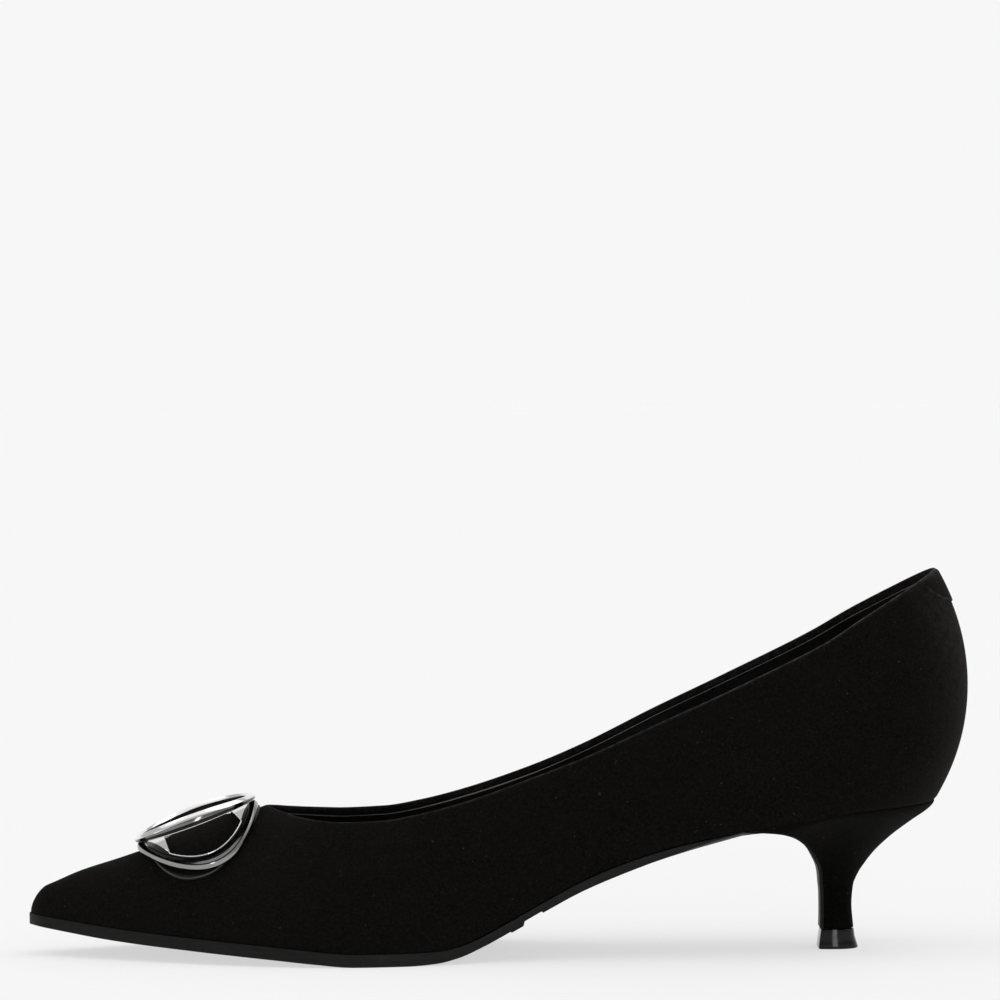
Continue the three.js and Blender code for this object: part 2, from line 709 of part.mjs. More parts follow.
function heelBlock() {
  const shell = new Shell();
  const levels = heelRows.map((row) => row.down);
  const last = seatStations().length - 1;
  const lines = {};
  [lateral, medial].forEach((side) => {
    lines[side] = levels.map((down) => seatStations().map((along, index) => heelPoint(side, index, down)));
  });
  const left = lines[lateral];
  const right = lines[medial];
  right.forEach((line, k) => line[last].copy(left[k][last]));
  for (let k = 0; k + 1 < levels.length; k += 1) {
    for (let i = 0; i < last; i += 1) {
      shell.quad(left[k][i], left[k + 1][i], left[k + 1][i + 1], left[k][i + 1]);
      shell.quad(right[k][i + 1], right[k + 1][i + 1], right[k + 1][i], right[k][i]);
    }
    const middle = breastMiddle(levels[k]);
    const below = breastMiddle(levels[k + 1]);
    shell.quad(right[k][0], right[k + 1][0], below, middle);
    shell.quad(middle, below, left[k + 1][0], left[k][0]);
  }
  const bottom = levels.length - 1;
  const seatMiddle = breastMiddle(0);
  const neckMiddle = breastMiddle(1);
  shell.triangle(left[0][0], right[0][0], seatMiddle);
  shell.triangle(left[bottom][0], neckMiddle, right[bottom][0]);
  for (let i = 0; i < last; i += 1) {
    shell.quad(left[0][i], left[0][i + 1], right[0][i + 1], right[0][i]);
    shell.quad(left[bottom][i + 1], left[bottom][i], right[bottom][i], right[bottom][i + 1]);
  }
  return shell.geometry();
}

// Top piece: flared slice under the neck, flat on the floor
function topPiece() {
  const halfLength = topPieceLength / 2;
  const halfWidth = topPieceWidth / 2;
  const steps = 12;
  const outline = (height, front, back, half) => {
    const ring = [];
    for (let i = 0; i <= steps; i += 1) {
      const corner = neckPoint(lateral, i / steps, front, back, half);
      ring.push(new THREE.Vector3(corner.x, corner.y, height));
    }
    for (let i = steps - 1; i >= 0; i -= 1) {
      const corner = neckPoint(medial, i / steps, front, back, half);
      ring.push(new THREE.Vector3(corner.x, corner.y, height));
    }
    return ring;
  };
  const front = halfLength - topPieceTaper * 0.5;
  return loft([
    outline(0, halfLength, halfLength, halfWidth),
    outline(topPieceHeight * 0.25, halfLength - 0.1, halfLength - 0.3, halfWidth - 0.2),
    outline(topPieceHeight, front, neckBack + 0.05, neckHalfWidth + 0.05),
  ]);
}

// Outsole: from the toe to the heel's lip, then down the heel's front as a thin flap
function soleRing(along) {
  const reach = soleReach(along);
  const welt = reach < 0 ? reach : reach * soleWelt;
  const left = seamInset(lateral, along, -welt);
  const right = seamInset(medial, along, -welt);
  const middle = left.clone().lerp(right, 0.5);
  const top = (point) => point.clone().setZ(seamHeight(point.x) - clearance);
  const below = (point, share) => top(point).setZ(top(point).z - share * soleThickness);
  const inner = 0.88;
  const bevelLeft = middle.clone().lerp(left, inner);
  const bevelRight = middle.clone().lerp(right, inner);
  const flatLeft = middle.clone().lerp(left, 0.62);
  const flatRight = middle.clone().lerp(right, 0.62);
  const edge = soleEdge(along);
  const centre = soleMiddle(along);
  const bevel = mix(edge, centre, 0.7);
  return [
    top(left), top(middle), top(right),
    below(right, edge), below(bevelRight, bevel), below(flatRight, centre),
    below(flatLeft, centre), below(bevelLeft, bevel), below(left, edge),
  ];
}

function flapRing(down) {
  const away = breastDirection(down);
  const left = heelPoint(lateral, 0, down);
  const right = heelPoint(medial, 0, down);
  const middle = breastMiddle(down);
  const gap = clearance * 1.15;
  const thick = mix(soleThickness * 0.42, flapThickness, ease(0, 0.2, down));
  const inset = mix(flapShoulder, flapInset, ease(0.02, 0.3, down));
  left.y -= inset;
  right.y += inset;
  const at = (point, distance) => point.clone().addScaledVector(away, distance);
  const edgeOut = gap + thick * mix(0.35, 1, ease(0, 0.12, down));
  const flatLeft = middle.clone().lerp(left, 0.62);
  const flatRight = middle.clone().lerp(right, 0.62);
  const bevelLeft = middle.clone().lerp(left, 0.88);
  const bevelRight = middle.clone().lerp(right, 0.88);
  return [
    at(left, gap), at(middle, gap), at(right, gap),
    at(right, edgeOut), at(bevelRight, gap + thick), at(flatRight, gap + thick),
    at(flatLeft, gap + thick), at(bevelLeft, gap + thick), at(left, edgeOut),
  ];
}

function outsoleShape() {
  const rebate = alongAt(heelLip + 1);
  const steps = soleRows.map((row) => row.along).filter((along) => along > 0.43 && along < 0.48);
  const plain = stations(1, 18, 4, 9, 4).filter((along) => along > rebate + 0.008
    && (along < 0.425 || along > 0.48));
  const rings = [...plain, ...steps, rebate].sort((a, b) => b - a).map(soleRing);
  const flapLevels = [0.006, ...heelRows.map((row) => row.down).filter((down) => down > 0.008)];
  const bottom = 0.985;
  flapLevels.forEach((down) => rings.push(flapRing(Math.min(down, bottom))));
  return loft(rings.reverse());
}

// Ornament frame on the vamp: x' down the ridge to the toe, y' to the outer side, z' off the ridge
function ornamentFrame() {
  const along = ornamentPlace;
  const reach = (ringRadius * 0.9) / lastLength;
  const origin = wallTop(lateral, along);
  const xAxis = wallTop(lateral, along + reach).sub(wallTop(lateral, along - reach)).setY(0).normalize();
  const yAxis = new THREE.Vector3(0, 1, 0);
  const zAxis = new THREE.Vector3(-xAxis.z, 0, xAxis.x);
  return { origin, xAxis, yAxis, zAxis };
}

const ornament = ornamentFrame();

function ornamentPoint(x, y, z) {
  return ornament.origin.clone()
    .addScaledVector(ornament.xAxis, x)
    .addScaledVector(ornament.yAxis, y)
    .addScaledVector(ornament.zAxis, z);
}

// Height of the vamp's outer surface over a point of its plan
function vampHeight(x, y) {
  const along = alongAt(x);
  const offset = y - centreLine(along);
  const side = offset >= 0 ? lateral : medial;
  const full = fullnessAt(along);
  const ratio = Math.min(Math.abs(offset) / seamHalfWidth(side, along), 1);
  const rise = wallTop(side, along).z - seamHeight(x);
  return seamHeight(x) + rise * (1 - ratio ** full) ** (1 / full);
}

function vampOffset(x, y, distance) {
  const step = 0.05;
  const slopeX = (vampHeight(x + step, y) - vampHeight(x - step, y)) / (2 * step);
  const slopeY = (vampHeight(x, y + step) - vampHeight(x, y - step)) / (2 * step);
  const normal = new THREE.Vector3(-slopeX, -slopeY, 1).normalize();
  return new THREE.Vector3(x, y, vampHeight(x, y)).addScaledVector(normal, distance);
}

// Thin black pad that lies on the vamp under the rings
function padGrid(distance) {
  const columnCount = 20;
  const rowCount = 8;
  const grid = [];
  for (let c = 0; c <= columnCount; c += 1) {
    const angle = mix(Math.PI / 2, -Math.PI / 2, c / columnCount);
    const reach = padHalfLength * Math.cos(angle);
    const column = [];
    for (let r = 0; r <= rowCount; r += 1) {
      const y = ornamentShift + padHalfWidth * Math.sin(angle);
      const spot = ornamentPoint(mix(-reach, reach, r / rowCount) - padSetback, y, 0);
      column.push(vampOffset(spot.x, spot.y, distance));
    }
    grid.push(column);
  }
  return grid;
}

function padShape() {
  return slab(padGrid(clearance + padThickness), padGrid(clearance));
}

const lowerRingMiddle = clearance * 2 + padThickness + ringSag + ringThickness / 2;

// Height of the vamp in the ornament's own frame
function vampLift(x, y) {
  let lift = 0;
  for (let i = 0; i < 12; i += 1) {
    const spot = ornamentPoint(x, y, lift);
    lift += (vampHeight(spot.x, spot.y) - spot.z) * ornament.zAxis.z;
  }
  return lift;
}

// How sharply the lower ring bends over the ridge where its rim stands off the pad by this much
function bendOver(angle, standoff) {
  const x = ringRadius * Math.cos(angle);
  const y = ornamentShift + ringRadius * Math.sin(angle);
  const rim = vampLift(x, y) + padThickness + 2 * clearance + ringThickness / 2 + standoff;
  return { x, bend: (lowerRingMiddle - rim) / (y * y) };
}

const heelSideBend = bendOver((Math.PI * 2) / 3, heelSideStandoff);
const toeSideBend = bendOver(Math.PI / 3, toeSideStandoff);

function lowerBend(x, y) {
  const share = (x - heelSideBend.x) / (toeSideBend.x - heelSideBend.x);
  return lowerRingMiddle - mix(heelSideBend.bend, toeSideBend.bend, share) * y * y;
}

function upperArch(x) {
  return lowerRingMiddle + upperRingLift + upperRingArch * (1 - (x / ringRadius) ** 2);
}

// Point of a bent ring: along the radius at this angle, and off its own bent face
function bentPoint(surface, angle, radius, off) {
  const x = radius * Math.cos(angle);
  const y = ornamentShift + radius * Math.sin(angle);
  const step = 0.05;
  const slopeX = (surface(x + step, y) - surface(x - step, y)) / (2 * step);
  const slopeY = (surface(x, y + step) - surface(x, y - step)) / (2 * step);
  const normal = new THREE.Vector3(-slopeX, -slopeY, 1).normalize();
  return ornamentPoint(x + normal.x * off, y + normal.y * off, surface(x, y) + normal.z * off);
}

function ringLoop(surface, section, count) {
  const shell = new Shell();
  const rings = [];
  for (let i = 0; i <= count; i += 1) {
    const angle = (2 * Math.PI * (i % count)) / count;
    rings.push(section(angle).map(([radius, off]) => bentPoint(surface, angle, radius, off)));
  }
  for (let i = 0; i < count; i += 1) {
    const size = rings[i].length;
    for (let j = 0; j < size; j += 1) {
      const next = (j + 1) % size;
      shell.quad(rings[i][j], rings[i + 1][j], rings[i + 1][next], rings[i][next]);
    }
  }
  return shell.geometry();
}

// Cross section of a ring's bar, with this much more below its usual thickness
function rimSection(deeper) {
  const half = ringThickness / 2;
  const foot = -half - deeper;
  const outer = ringRadius;
  const inner = ringRadius - ringWidth;
  const cut = ringChamfer;
  return [
    [inner, foot + cut], [inner + cut, foot], [outer - cut, foot], [outer, foot + cut],
    [outer, half - cut], [outer - cut, half], [inner + cut, half], [inner, half - cut],
  ];
}

const ringSteps = 48;

function lowerRing() {
  return ringLoop(lowerBend, () => rimSection(0), ringSteps);
}

// Collar inside the lower ring, cut straight across at both ends where its corner webs are
function ringFlange() {
  const outer = ringRadius - ringWidth - clearance;
  const half = flangeThickness / 2;
  const section = (angle) => {
    const inner = Math.min(flangeInner, webReach / Math.max(Math.abs(Math.cos(angle)), 1e-6));
    return [[inner, -half], [outer, -half], [outer, half], [inner, half]];
  };
  return ringLoop(lowerBend, section, ringSteps);
}

// Upper ring: arched on top and a little full below, with its two ends down on the lower ring
function upperRing() {
  const deeper = (angle) => upperRingArch * upperRingFill * Math.sin(angle) ** 2;
  return ringLoop((x) => upperArch(x), (angle) => rimSection(deeper(angle)), ringSteps);
}

const shoe = new THREE.Group();

function addPiece(name, geometry, finish) {
  const mesh = new THREE.Mesh(geometry, new THREE.MeshStandardMaterial(finish));
  mesh.name = name;
  shoe.add(mesh);
}

addPiece('upper', fromManifold(toManifold(upperShell()).subtract(toManifold(tabRecess()))), suede);
addPiece('back_tab', backTab(), suede);
addPiece('insole', insoleShape(), sockFinish);
addPiece('outsole', outsoleShape(), soleFinish);
addPiece('heel', heelBlock(), suede);
addPiece('heel_tip', topPiece(), glossBlack);
addPiece('ornament_pad', padShape(), padFinish);
addPiece('ring_lower', lowerRing(), gunmetal);
addPiece('ring_flange', ringFlange(), glossBlack);
addPiece('ring_upper', upperRing(), gunmetal);

export default shoe;
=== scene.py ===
import math

import bpy
import numpy as np
from mathutils import Matrix, Vector


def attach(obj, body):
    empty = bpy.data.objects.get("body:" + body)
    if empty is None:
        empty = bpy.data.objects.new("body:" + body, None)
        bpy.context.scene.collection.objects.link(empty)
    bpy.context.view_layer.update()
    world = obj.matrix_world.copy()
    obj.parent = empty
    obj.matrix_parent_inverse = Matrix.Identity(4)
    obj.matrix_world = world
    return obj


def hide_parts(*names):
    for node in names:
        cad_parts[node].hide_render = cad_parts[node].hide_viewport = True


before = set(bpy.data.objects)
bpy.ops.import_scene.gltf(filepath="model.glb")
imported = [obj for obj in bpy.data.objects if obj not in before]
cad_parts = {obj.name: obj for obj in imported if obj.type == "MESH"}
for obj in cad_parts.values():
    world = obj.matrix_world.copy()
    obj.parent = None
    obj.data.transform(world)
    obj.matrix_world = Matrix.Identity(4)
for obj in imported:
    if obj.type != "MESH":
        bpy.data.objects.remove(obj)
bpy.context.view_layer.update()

MILLIMETRE = 0.001
JOINS_PER_MILLIMETRE = 2000
LATERAL = 1.0
MEDIAL = -1.0

# Sizes of the last
LAST_LENGTH = 244.8
HEEL_SETBACK = 26.1
BALL_WIDTH = 71.0
SEAT_WIDTH = 51.0
HEEL_HEIGHT = 39.9
TOE_SPRING = 7.7
TOE_DRIFT = 2.0
NOSE_RADIUS = 4.6
NOSE_HEIGHT = 6.0

# Sizes of the upper
THROAT_DEPTH = 34.6
THROAT_PLACE = 0.739
THROAT_ROUND = 6.0
THROAT_REACH = 36.0
QUARTER_HEIGHT = 62.9
COLLAR_WIDTH = 47.0
COLLAR_ROUND = 34.0
COLLAR_SETBACK = 27.0
RIM_FOLD = 0.6
ANKLE_DIP = 1.3
SUEDE_THICKNESS = 1.2
LINING_OUTER = 1.22
LINING_INNER = 1.78
LINING_SETDOWN = 1.5
LINING_TUCK = 1.6
LINING_START = 0.012
LINING_TOE_END = 0.97
BEAD_RADIUS = 0.07
BEAD_THROAT_RADIUS = 0.22
BEAD_THROAT_PLACE = 0.49
BEAD_THROAT_REACH = 0.07
DOME_START = 0.42
DOME_END = 0.54
SEAM_TUCK = 0.28
SEAM_TUCK_REACH = 0.022
SKIN_WAVE = 0.055

# Back tab
TAB_HALF_WIDTH = 12.0
TAB_DEPTH = 10.1
TAB_PROUD = 0.45
TAB_SINK = 0.1
TAB_WALL_RUN = QUARTER_HEIGHT * 1.08
TAB_LOWER_ROUND = 0.5
TAB_TOP_ROUND = 1.2
TAB_LINE_WIDTH = 0.4

# How much lighter the suede is at its edges, partly wear of the nap and partly painted highlight along
# edges, folds and the back: 0 is the plain nap, 1 the lightest
TOPLINE_TONE = 0.10
INNER_EDGE_TONE = 0.15
COLLAR_BACK_PAINTED_HIGHLIGHT = 0.10
RIM_TONE = 0.08
RIM_FRONT_PAINTED_HIGHLIGHT = 0.22
RIM_BACK_PAINTED_HIGHLIGHT = 0.75
TAB_TONE = 0.02
TAB_LINE_PAINTED_HIGHLIGHT = 0.34
TAB_TOP_PAINTED_HIGHLIGHT = 0.30

# Soles
CLEARANCE = 0.3
SOLE_THICKNESS = 2.8
SOLE_WELT = 0.4
SOLE_RIM_RISE = 0.6
SOLE_CORNER = 0.26
THINNING_START = 0.62
THINNING_POWER = 3.17
SOLE_CORNER_SHARE = 0.4
INSOLE_THICKNESS = 2.0
INSOLE_DISH = 0.5
FLAP_THICKNESS = 0.8
FLAP_INSET = 0.5
FLAP_SHOULDER = 2.6
BREAST_BOW = 0.35
UPPER_WALL = 1.8

# Heel and top piece
HEEL_LIP = 26.0
WING_THICKNESS = 0.3
NECK_FRONT = 4.1
NECK_BACK = 4.0
NECK_HALF_WIDTH = 4.7
NECK_FLAT_SHARE = 0.35
NECK_FRONT_SHARE = 0.93
NECK_WIDEST = 0.62
NECK_FULLNESS = 2.4
TOP_PIECE_HEIGHT = 5.3
TOP_PIECE_LENGTH = 10.4
TOP_PIECE_WIDTH = 10.6
TOP_PIECE_TAPER = 0.8
TOP_PIECE_TOE = 0.5
HEEL_SEAM_PLACE = 2.0
HEEL_SEAM_RADIUS = 0.16

# Ring ornament
ORNAMENT_PLACE = 0.8117
RING_RADIUS = 17.3
RING_WIDTH = 2.3
RING_THICKNESS = 1.35
RING_EDGE = 0.32
UPPER_RING_ARCH = 1.6
UPPER_RING_LIFT = 1.65
UPPER_RING_FILL = 1.25
UPPER_BEVEL = 0.9
UPPER_BEVEL_DEPTH = 1.15
INNER_BEVEL = 0.6
CHANNEL_WIDTH = 0.88
LOWER_BEVEL = 0.55
HEEL_SIDE_STANDOFF = 0.25
TOE_SIDE_STANDOFF = 2.6
ORNAMENT_SHIFT = 2.4
RING_SAG = 0.15
FLANGE_THICKNESS = 0.7
FLANGE_INNER = 14.1
WEB_REACH = 9.6
TOE_CUT_LEAN = 0.1
HEEL_CUT_LEAN = -0.35
PAD_SETBACK = 1.8
PAD_HALF_LENGTH = 15.8
PAD_HALF_WIDTH = 16.4
PAD_THICKNESS = 0.45
PAD_CROWN = 1.05
CROWN_HEEL_REACH = 11.6
CROWN_TOE_REACH = 9.3
CROWN_SIDE_REACH = FLANGE_INNER - 1.4
PAD_BEAD = 0.10
PAD_BEAD_PLACE = 0.968
PAD_BEAD_REACH = 0.016
PAD_SATIN_START = 0.86
LIP_RADIUS = 0.18
LIP_INSET = 0.12
WEB_PROUD = 0.07
WEB_SWELL = 0.05
RING_STEPS = 180

# Small steps for slopes: along the last, up the wall, and in millimetres
ALONG_STEP = 1e-5
UP_STEP = 1e-3
SLOPE_STEP = 0.05


def table(names, rows):
    """A short table as one array for each named column."""
    return dict(zip(names.split(), np.array(rows, float).T))


OUTLINE = table("along lateral medial", [
    (0, 0.502, 0.496), (0.10, 0.502, 0.494), (0.17, 0.495, 0.470), (0.25, 0.460, 0.411),
    (0.33, 0.420, 0.352), (0.40, 0.397, 0.330), (0.457, 0.399, 0.344), (0.50, 0.419, 0.374),
    (0.545, 0.455, 0.416), (0.59, 0.485, 0.462), (0.638, 0.500, 0.490), (0.68, 0.492, 0.494),
    (0.726, 0.462, 0.468), (0.772, 0.414, 0.417), (0.857, 0.299, 0.293), (0.90, 0.228, 0.223),
    (0.944, 0.152, 0.148), (0.978, 0.093, 0.090), (1, 0.048, 0.048),
])

LIFT = table("along heel toe", [
    (0, 1, 0), (0.06, 0.982, 0), (0.12, 0.940, 0), (0.22, 0.830, 0), (0.29, 0.733, 0), (0.34, 0.632, 0),
    (0.39, 0.497, 0), (0.43, 0.360, 0), (0.475, 0.197, 0), (0.50, 0.113, 0), (0.525, 0.045, 0),
    (0.55, 0.010, 0), (0.58, 0, 0), (0.638, 0, 0), (0.68, 0, 0.104), (0.726, 0, 0.234),
    (0.814, 0, 0.44), (0.90, 0, 0.65), (1, 0, 1),
])

TOPLINE = table("along rise width dip", [
    (0, 1, 1, 0), (0.04, 0.914, 1, 0.2), (0.087, 0.813, 1, 0.6), (0.13, 0.714, 1, 1),
    (0.22, 0.540, 1, 1), (0.305, 0.386, 0.97, 0.8), (0.39, 0.226, 0.91, 0.3), (0.45, 0.132, 0.89, 0),
    (0.52, 0.040, 0.94, 0), (0.57, -0.007, 0.97, 0), (0.61, -0.031, 0.98, 0), (0.655, -0.036, 0.94, 0),
    (0.68, -0.030, 0.84, 0), (0.702, -0.020, 0.65, 0), (0.72, -0.008, 0.41, 0), (0.739, 0, 0.18, 0),
])

VAMP = table("along ridge fullness", [
    (0, 1.45, 2), (0.45, 1.45, 2), (0.56, 1.4, 2.08), (0.66, 1.25, 2), (0.70, 1.124, 1.85),
    (0.72, 1.061, 1.68), (0.739, 1, 1.54), (0.76, 0.936, 1.46), (0.78, 0.873, 1.46),
    (0.815, 0.769, 1.6), (0.857, 0.642, 1.78), (0.895, 0.528, 1.82), (0.944, 0.382, 1.9),
    (0.978, 0.252, 2.05), (1, 0.173, 2.2),
])

WALL = table("along lift flare drop lean", [
    (0, 0.335, 0.205, 0.31, 0.172), (0.05, 0.335, 0.18, 0.31, 0.16), (0.11, 0.33, 0.115, 0.30, 0.12),
    (0.20, 0.33, 0.06, 0.30, 0.09), (0.35, 0.33, 0.04, 0.30, 0.09), (0.54, 0.38, 0.03, 0.30, 0.20),
])

HEEL = table("down back side front wing", [
    (0, 1, 1, 1, 1), (0.012, 0.985, 0.985, 0.63, 0.94), (0.035, 0.955, 0.955, 0.49, 0.86),
    (0.07, 0.89, 0.89, 0.38, 0.74), (0.12, 0.775, 0.79, 0.28, 0.60), (0.18, 0.645, 0.67, 0.197, 0.45),
    (0.25, 0.50, 0.53, 0.125, 0.31), (0.32, 0.375, 0.41, 0.075, 0.21), (0.39, 0.265, 0.30, 0.035, 0.13),
    (0.47, 0.165, 0.19, 0.014, 0.07), (0.57, 0.062, 0.09, 0.005, 0.03), (0.67, 0, 0.03, -0.004, 0.005),
    (0.82, -0.02, 0, -0.005, 0), (1, 0, 0, 0, 0),
])

SOLE = table("along middle edge welt", [
    (0.217, 0.55, 0.07, -3.2), (0.25, 0.72, 0.25, -1.1), (0.30, 0.92, 0.72, -0.2), (0.36, 1, 0.93, 0),
    (0.4335, 1, 0.93, 0), (0.4355, 0.78, 0.74, 0), (0.4535, 0.78, 0.74, 0), (0.4555, 1.13, 1.13, 0.4),
    (0.4675, 1.13, 1.13, 0.4), (0.4695, 1, 0.98, 0.2), (0.52, 1, 0.98, 0.4), (0.62, 1, 1, 0.8),
    (0.90, 1, 0.96, 1), (1, 0.86, 0.80, 1),
])


def smooth_curve(places, values):
    """Smooth curve through the table's values, without overshoot."""
    secants = np.diff(values) / np.diff(places)
    product = secants[:-1] * secants[1:]
    total = np.where(product > 0, secants[:-1] + secants[1:], 1.0)
    inner = np.where(product > 0, 2 * product / total, 0.0)
    slopes = np.concatenate([secants[:1], inner, secants[-1:]])

    def at(place):
        spot = np.clip(place, places[0], places[-1])
        i = np.clip(np.searchsorted(places, spot, side="right") - 1, 0, len(places) - 2)
        span = places[i + 1] - places[i]
        s = (spot - places[i]) / span
        rest = 1 - s
        start = values[i] * (1 + 2 * s) * rest * rest + slopes[i] * span * s * rest * rest
        return start + values[i + 1] * s * s * (3 - 2 * s) - slopes[i + 1] * span * s * s * rest

    return at


def curves(rows):
    """A smooth curve for each column of a table, over its first one."""
    places, *columns = rows.values()
    return [smooth_curve(places, values) for values in columns]


lateral_share, medial_share = curves(OUTLINE)
heel_lift, toe_lift = curves(LIFT)
topline_rise, topline_width, topline_dip = curves(TOPLINE)
ridge_share, fullness_at = curves(VAMP)
wall_lift, wall_flare, wall_drop, wall_lean = curves(WALL)
heel_back, heel_side, heel_front, heel_wing = curves(HEEL)
sole_middle, sole_edge, sole_reach = curves(SOLE)


def mix(a, b, share):
    return a + (b - a) * share


def ease(start, end, value):
    s = np.clip((np.asarray(value, float) - start) / (end - start), 0, 1)
    return s * s * (3 - 2 * s)


def round_end(distance, radius):
    """A half width that closes to nothing over a round end."""
    left = 1 - np.clip(distance / radius, 0, 1)
    return np.sqrt(1 - left * left)


def vec(x, y, z):
    return np.stack(np.broadcast_arrays(x, y, z), -1).astype(float)


def unit(v):
    return v / np.maximum(np.linalg.norm(v, axis=-1, keepdims=True), 1e-12)


def place_x(along):
    return along * LAST_LENGTH - HEEL_SETBACK


def along_at(x):
    return (x + HEEL_SETBACK) / LAST_LENGTH


def seam_height(x):
    along = along_at(x)
    ball = SOLE_THICKNESS + CLEARANCE
    return ball + (HEEL_HEIGHT - ball) * heel_lift(along) + TOE_SPRING * toe_lift(along)


def centre_line(along):
    return -TOE_DRIFT * np.clip((along - 0.6) / 0.4, 0, 1) ** 1.5


def seam_half_width(side, along):
    width = mix(SEAT_WIDTH, BALL_WIDTH, ease(0.15, 0.6, along))
    share = np.where(side > 0, lateral_share(along), medial_share(along))
    heel_end = round_end(along * LAST_LENGTH, SEAT_WIDTH / 2)
    nose_end = round_end((1 - along) * LAST_LENGTH, NOSE_RADIUS)
    return width * share * heel_end * nose_end


def wall_top(side, along):
    """Top of the wall: the ridge before the throat, the topline behind it."""
    nose = NOSE_HEIGHT / THROAT_DEPTH - VAMP["ridge"][-1]
    ridge = THROAT_DEPTH * (ridge_share(along) + nose * ease(0.9, 1, along))
    ridge = ridge * round_end((1 - along) * LAST_LENGTH, NOSE_RADIUS)
    front = vec(place_x(along), centre_line(along), seam_height(place_x(along)) + ridge)
    throat_height = seam_height(place_x(THROAT_PLACE)) + THROAT_DEPTH
    back_height = HEEL_HEIGHT + QUARTER_HEIGHT
    dip = np.where(side > 0, ANKLE_DIP * topline_dip(along), 0)
    set_back = (HEEL_SETBACK - COLLAR_SETBACK) * (1 - ease(0, 0.25, along))
    throat_end = round_end((THROAT_PLACE - along) * LAST_LENGTH, THROAT_ROUND)
    back_end = round_end(along * LAST_LENGTH, COLLAR_ROUND)
    reach = (COLLAR_WIDTH / 2) * topline_width(along) * throat_end * back_end
    fold = RIM_FOLD * ease(0, THROAT_ROUND, (THROAT_PLACE - along) * LAST_LENGTH)
    z = mix(throat_height, back_height, topline_rise(along)) - dip - fold
    back = vec(place_x(along) + set_back, centre_line(along) + side * reach, z)
    return np.where((along >= THROAT_PLACE)[..., None], front, back)


def quarter_point(side, along, up):
    """Bulging side of the quarter, from the seam (up 0) to the topline (up 1)."""
    x = place_x(along)
    seam = vec(x, centre_line(along) + side * seam_half_width(side, along), seam_height(x))
    top = wall_top(side, along)
    height = top[..., 2] - seam[..., 2]
    left = 1 - np.clip((along * LAST_LENGTH) / (SEAT_WIDTH / 2), 0, 1)
    out = vec(-left, side * np.sqrt(1 - left * left), 0)
    lower = seam + out * (wall_flare(along) * height)[..., None]
    lower[..., 2] += wall_lift(along) * height
    upper = top + out * (wall_lean(along) * height)[..., None]
    upper[..., 2] -= wall_drop(along) * height
    rest = (1 - up)[..., None]
    u = up[..., None]
    return seam * rest**3 + lower * 3 * rest * rest * u + upper * 3 * rest * u * u + top * u**3


def vamp_point(side, along, up):
    """Domed side of the vamp: part of a superellipse that stands upright on the seam."""
    x = place_x(along)
    seam_reach = seam_half_width(side, along)
    top = wall_top(side, along)
    full = fullness_at(along)
    top_reach = np.abs(top[..., 1] - centre_line(along))
    ratio = np.minimum(top_reach / np.maximum(seam_reach, 1e-9), 0.985)
    edge = (1 - ratio**full) ** (1 / full)
    crest = (top[..., 2] - seam_height(x)) / edge
    angle = up * np.arctan2(edge, ratio)
    c = np.cos(angle)
    s = np.sin(angle)
    size = (np.abs(c) ** full + np.abs(s) ** full) ** (1 / full)
    return vec(x, centre_line(along) + side * seam_reach * c / size, seam_height(x) + crest * s / size)


def wall_point(side, along, up):
    """Outer surface of the upper."""
    side, along, up = np.broadcast_arrays(side, along, up)
    domed = ease(DOME_START, DOME_END, along)[..., None]
    return mix(quarter_point(side, along, up), vamp_point(side, along, up), domed)


def either_side(along):
    return np.minimum(along + ALONG_STEP, 1), np.maximum(along - ALONG_STEP, 0)


def wall_normal(side, along, up):
    side, along, up = np.broadcast_arrays(side, along, up)
    ahead, behind = either_side(along)
    run = wall_point(side, ahead, up) - wall_point(side, behind, up)
    rise = wall_point(side, along, up + UP_STEP) - wall_point(side, along, np.maximum(up - UP_STEP, 0))
    normal = np.cross(rise, run) * side[..., None]
    on_middle = (along == 0) | ((up == 1) & (along >= THROAT_PLACE))
    normal[..., 1] = np.where(on_middle, 0, normal[..., 1])
    normal = np.where((along > 1 - 1e-6)[..., None], [1.0, 0, 0], normal)
    return unit(normal)


def offset_point(side, along, up, offset):
    offset = np.asarray(offset, float)
    return wall_point(side, along, up) + wall_normal(side, along, up) * offset[..., None]


def seam_inset(side, along, inset):
    """Seam outline moved inwards in plan."""
    side, along = np.broadcast_arrays(side, along)
    zero = np.zeros_like(along)
    here = quarter_point(side, along, zero)
    ahead, behind = either_side(along)
    run = quarter_point(side, ahead, zero) - quarter_point(side, behind, zero)
    inner = unit(vec(run[..., 1], -run[..., 0], 0) * side[..., None])
    inner = np.where((along == 0)[..., None], [1.0, 0, 0], inner)
    inner = np.where((along > 1 - 1e-6)[..., None], [-1.0, 0, 0], inner)
    here = here + inner * np.asarray(inset, float)[..., None]
    here[..., 2] = seam_height(here[..., 0])
    return here


def stations(heel_steps, quarter_steps, throat_steps, vamp_steps, nose_steps):
    """Places along the last, dense where an end is round."""
    heel_end = SEAT_WIDTH / 2 / LAST_LENGTH
    throat_start = THROAT_PLACE - THROAT_REACH / LAST_LENGTH
    nose_start = 1 - NOSE_RADIUS / LAST_LENGTH
    quarter = math.pi / 2
    return np.concatenate([
        heel_end * (1 - np.cos(quarter * np.arange(heel_steps) / heel_steps)),
        mix(heel_end, throat_start, np.arange(quarter_steps) / quarter_steps),
        mix(throat_start, THROAT_PLACE, np.sin(quarter * np.arange(throat_steps) / throat_steps)),
        mix(THROAT_PLACE, nose_start, np.arange(vamp_steps) / vamp_steps),
        mix(nose_start, 1, np.sin(quarter * np.arange(nose_steps) / nose_steps)),
        [1.0],
    ])


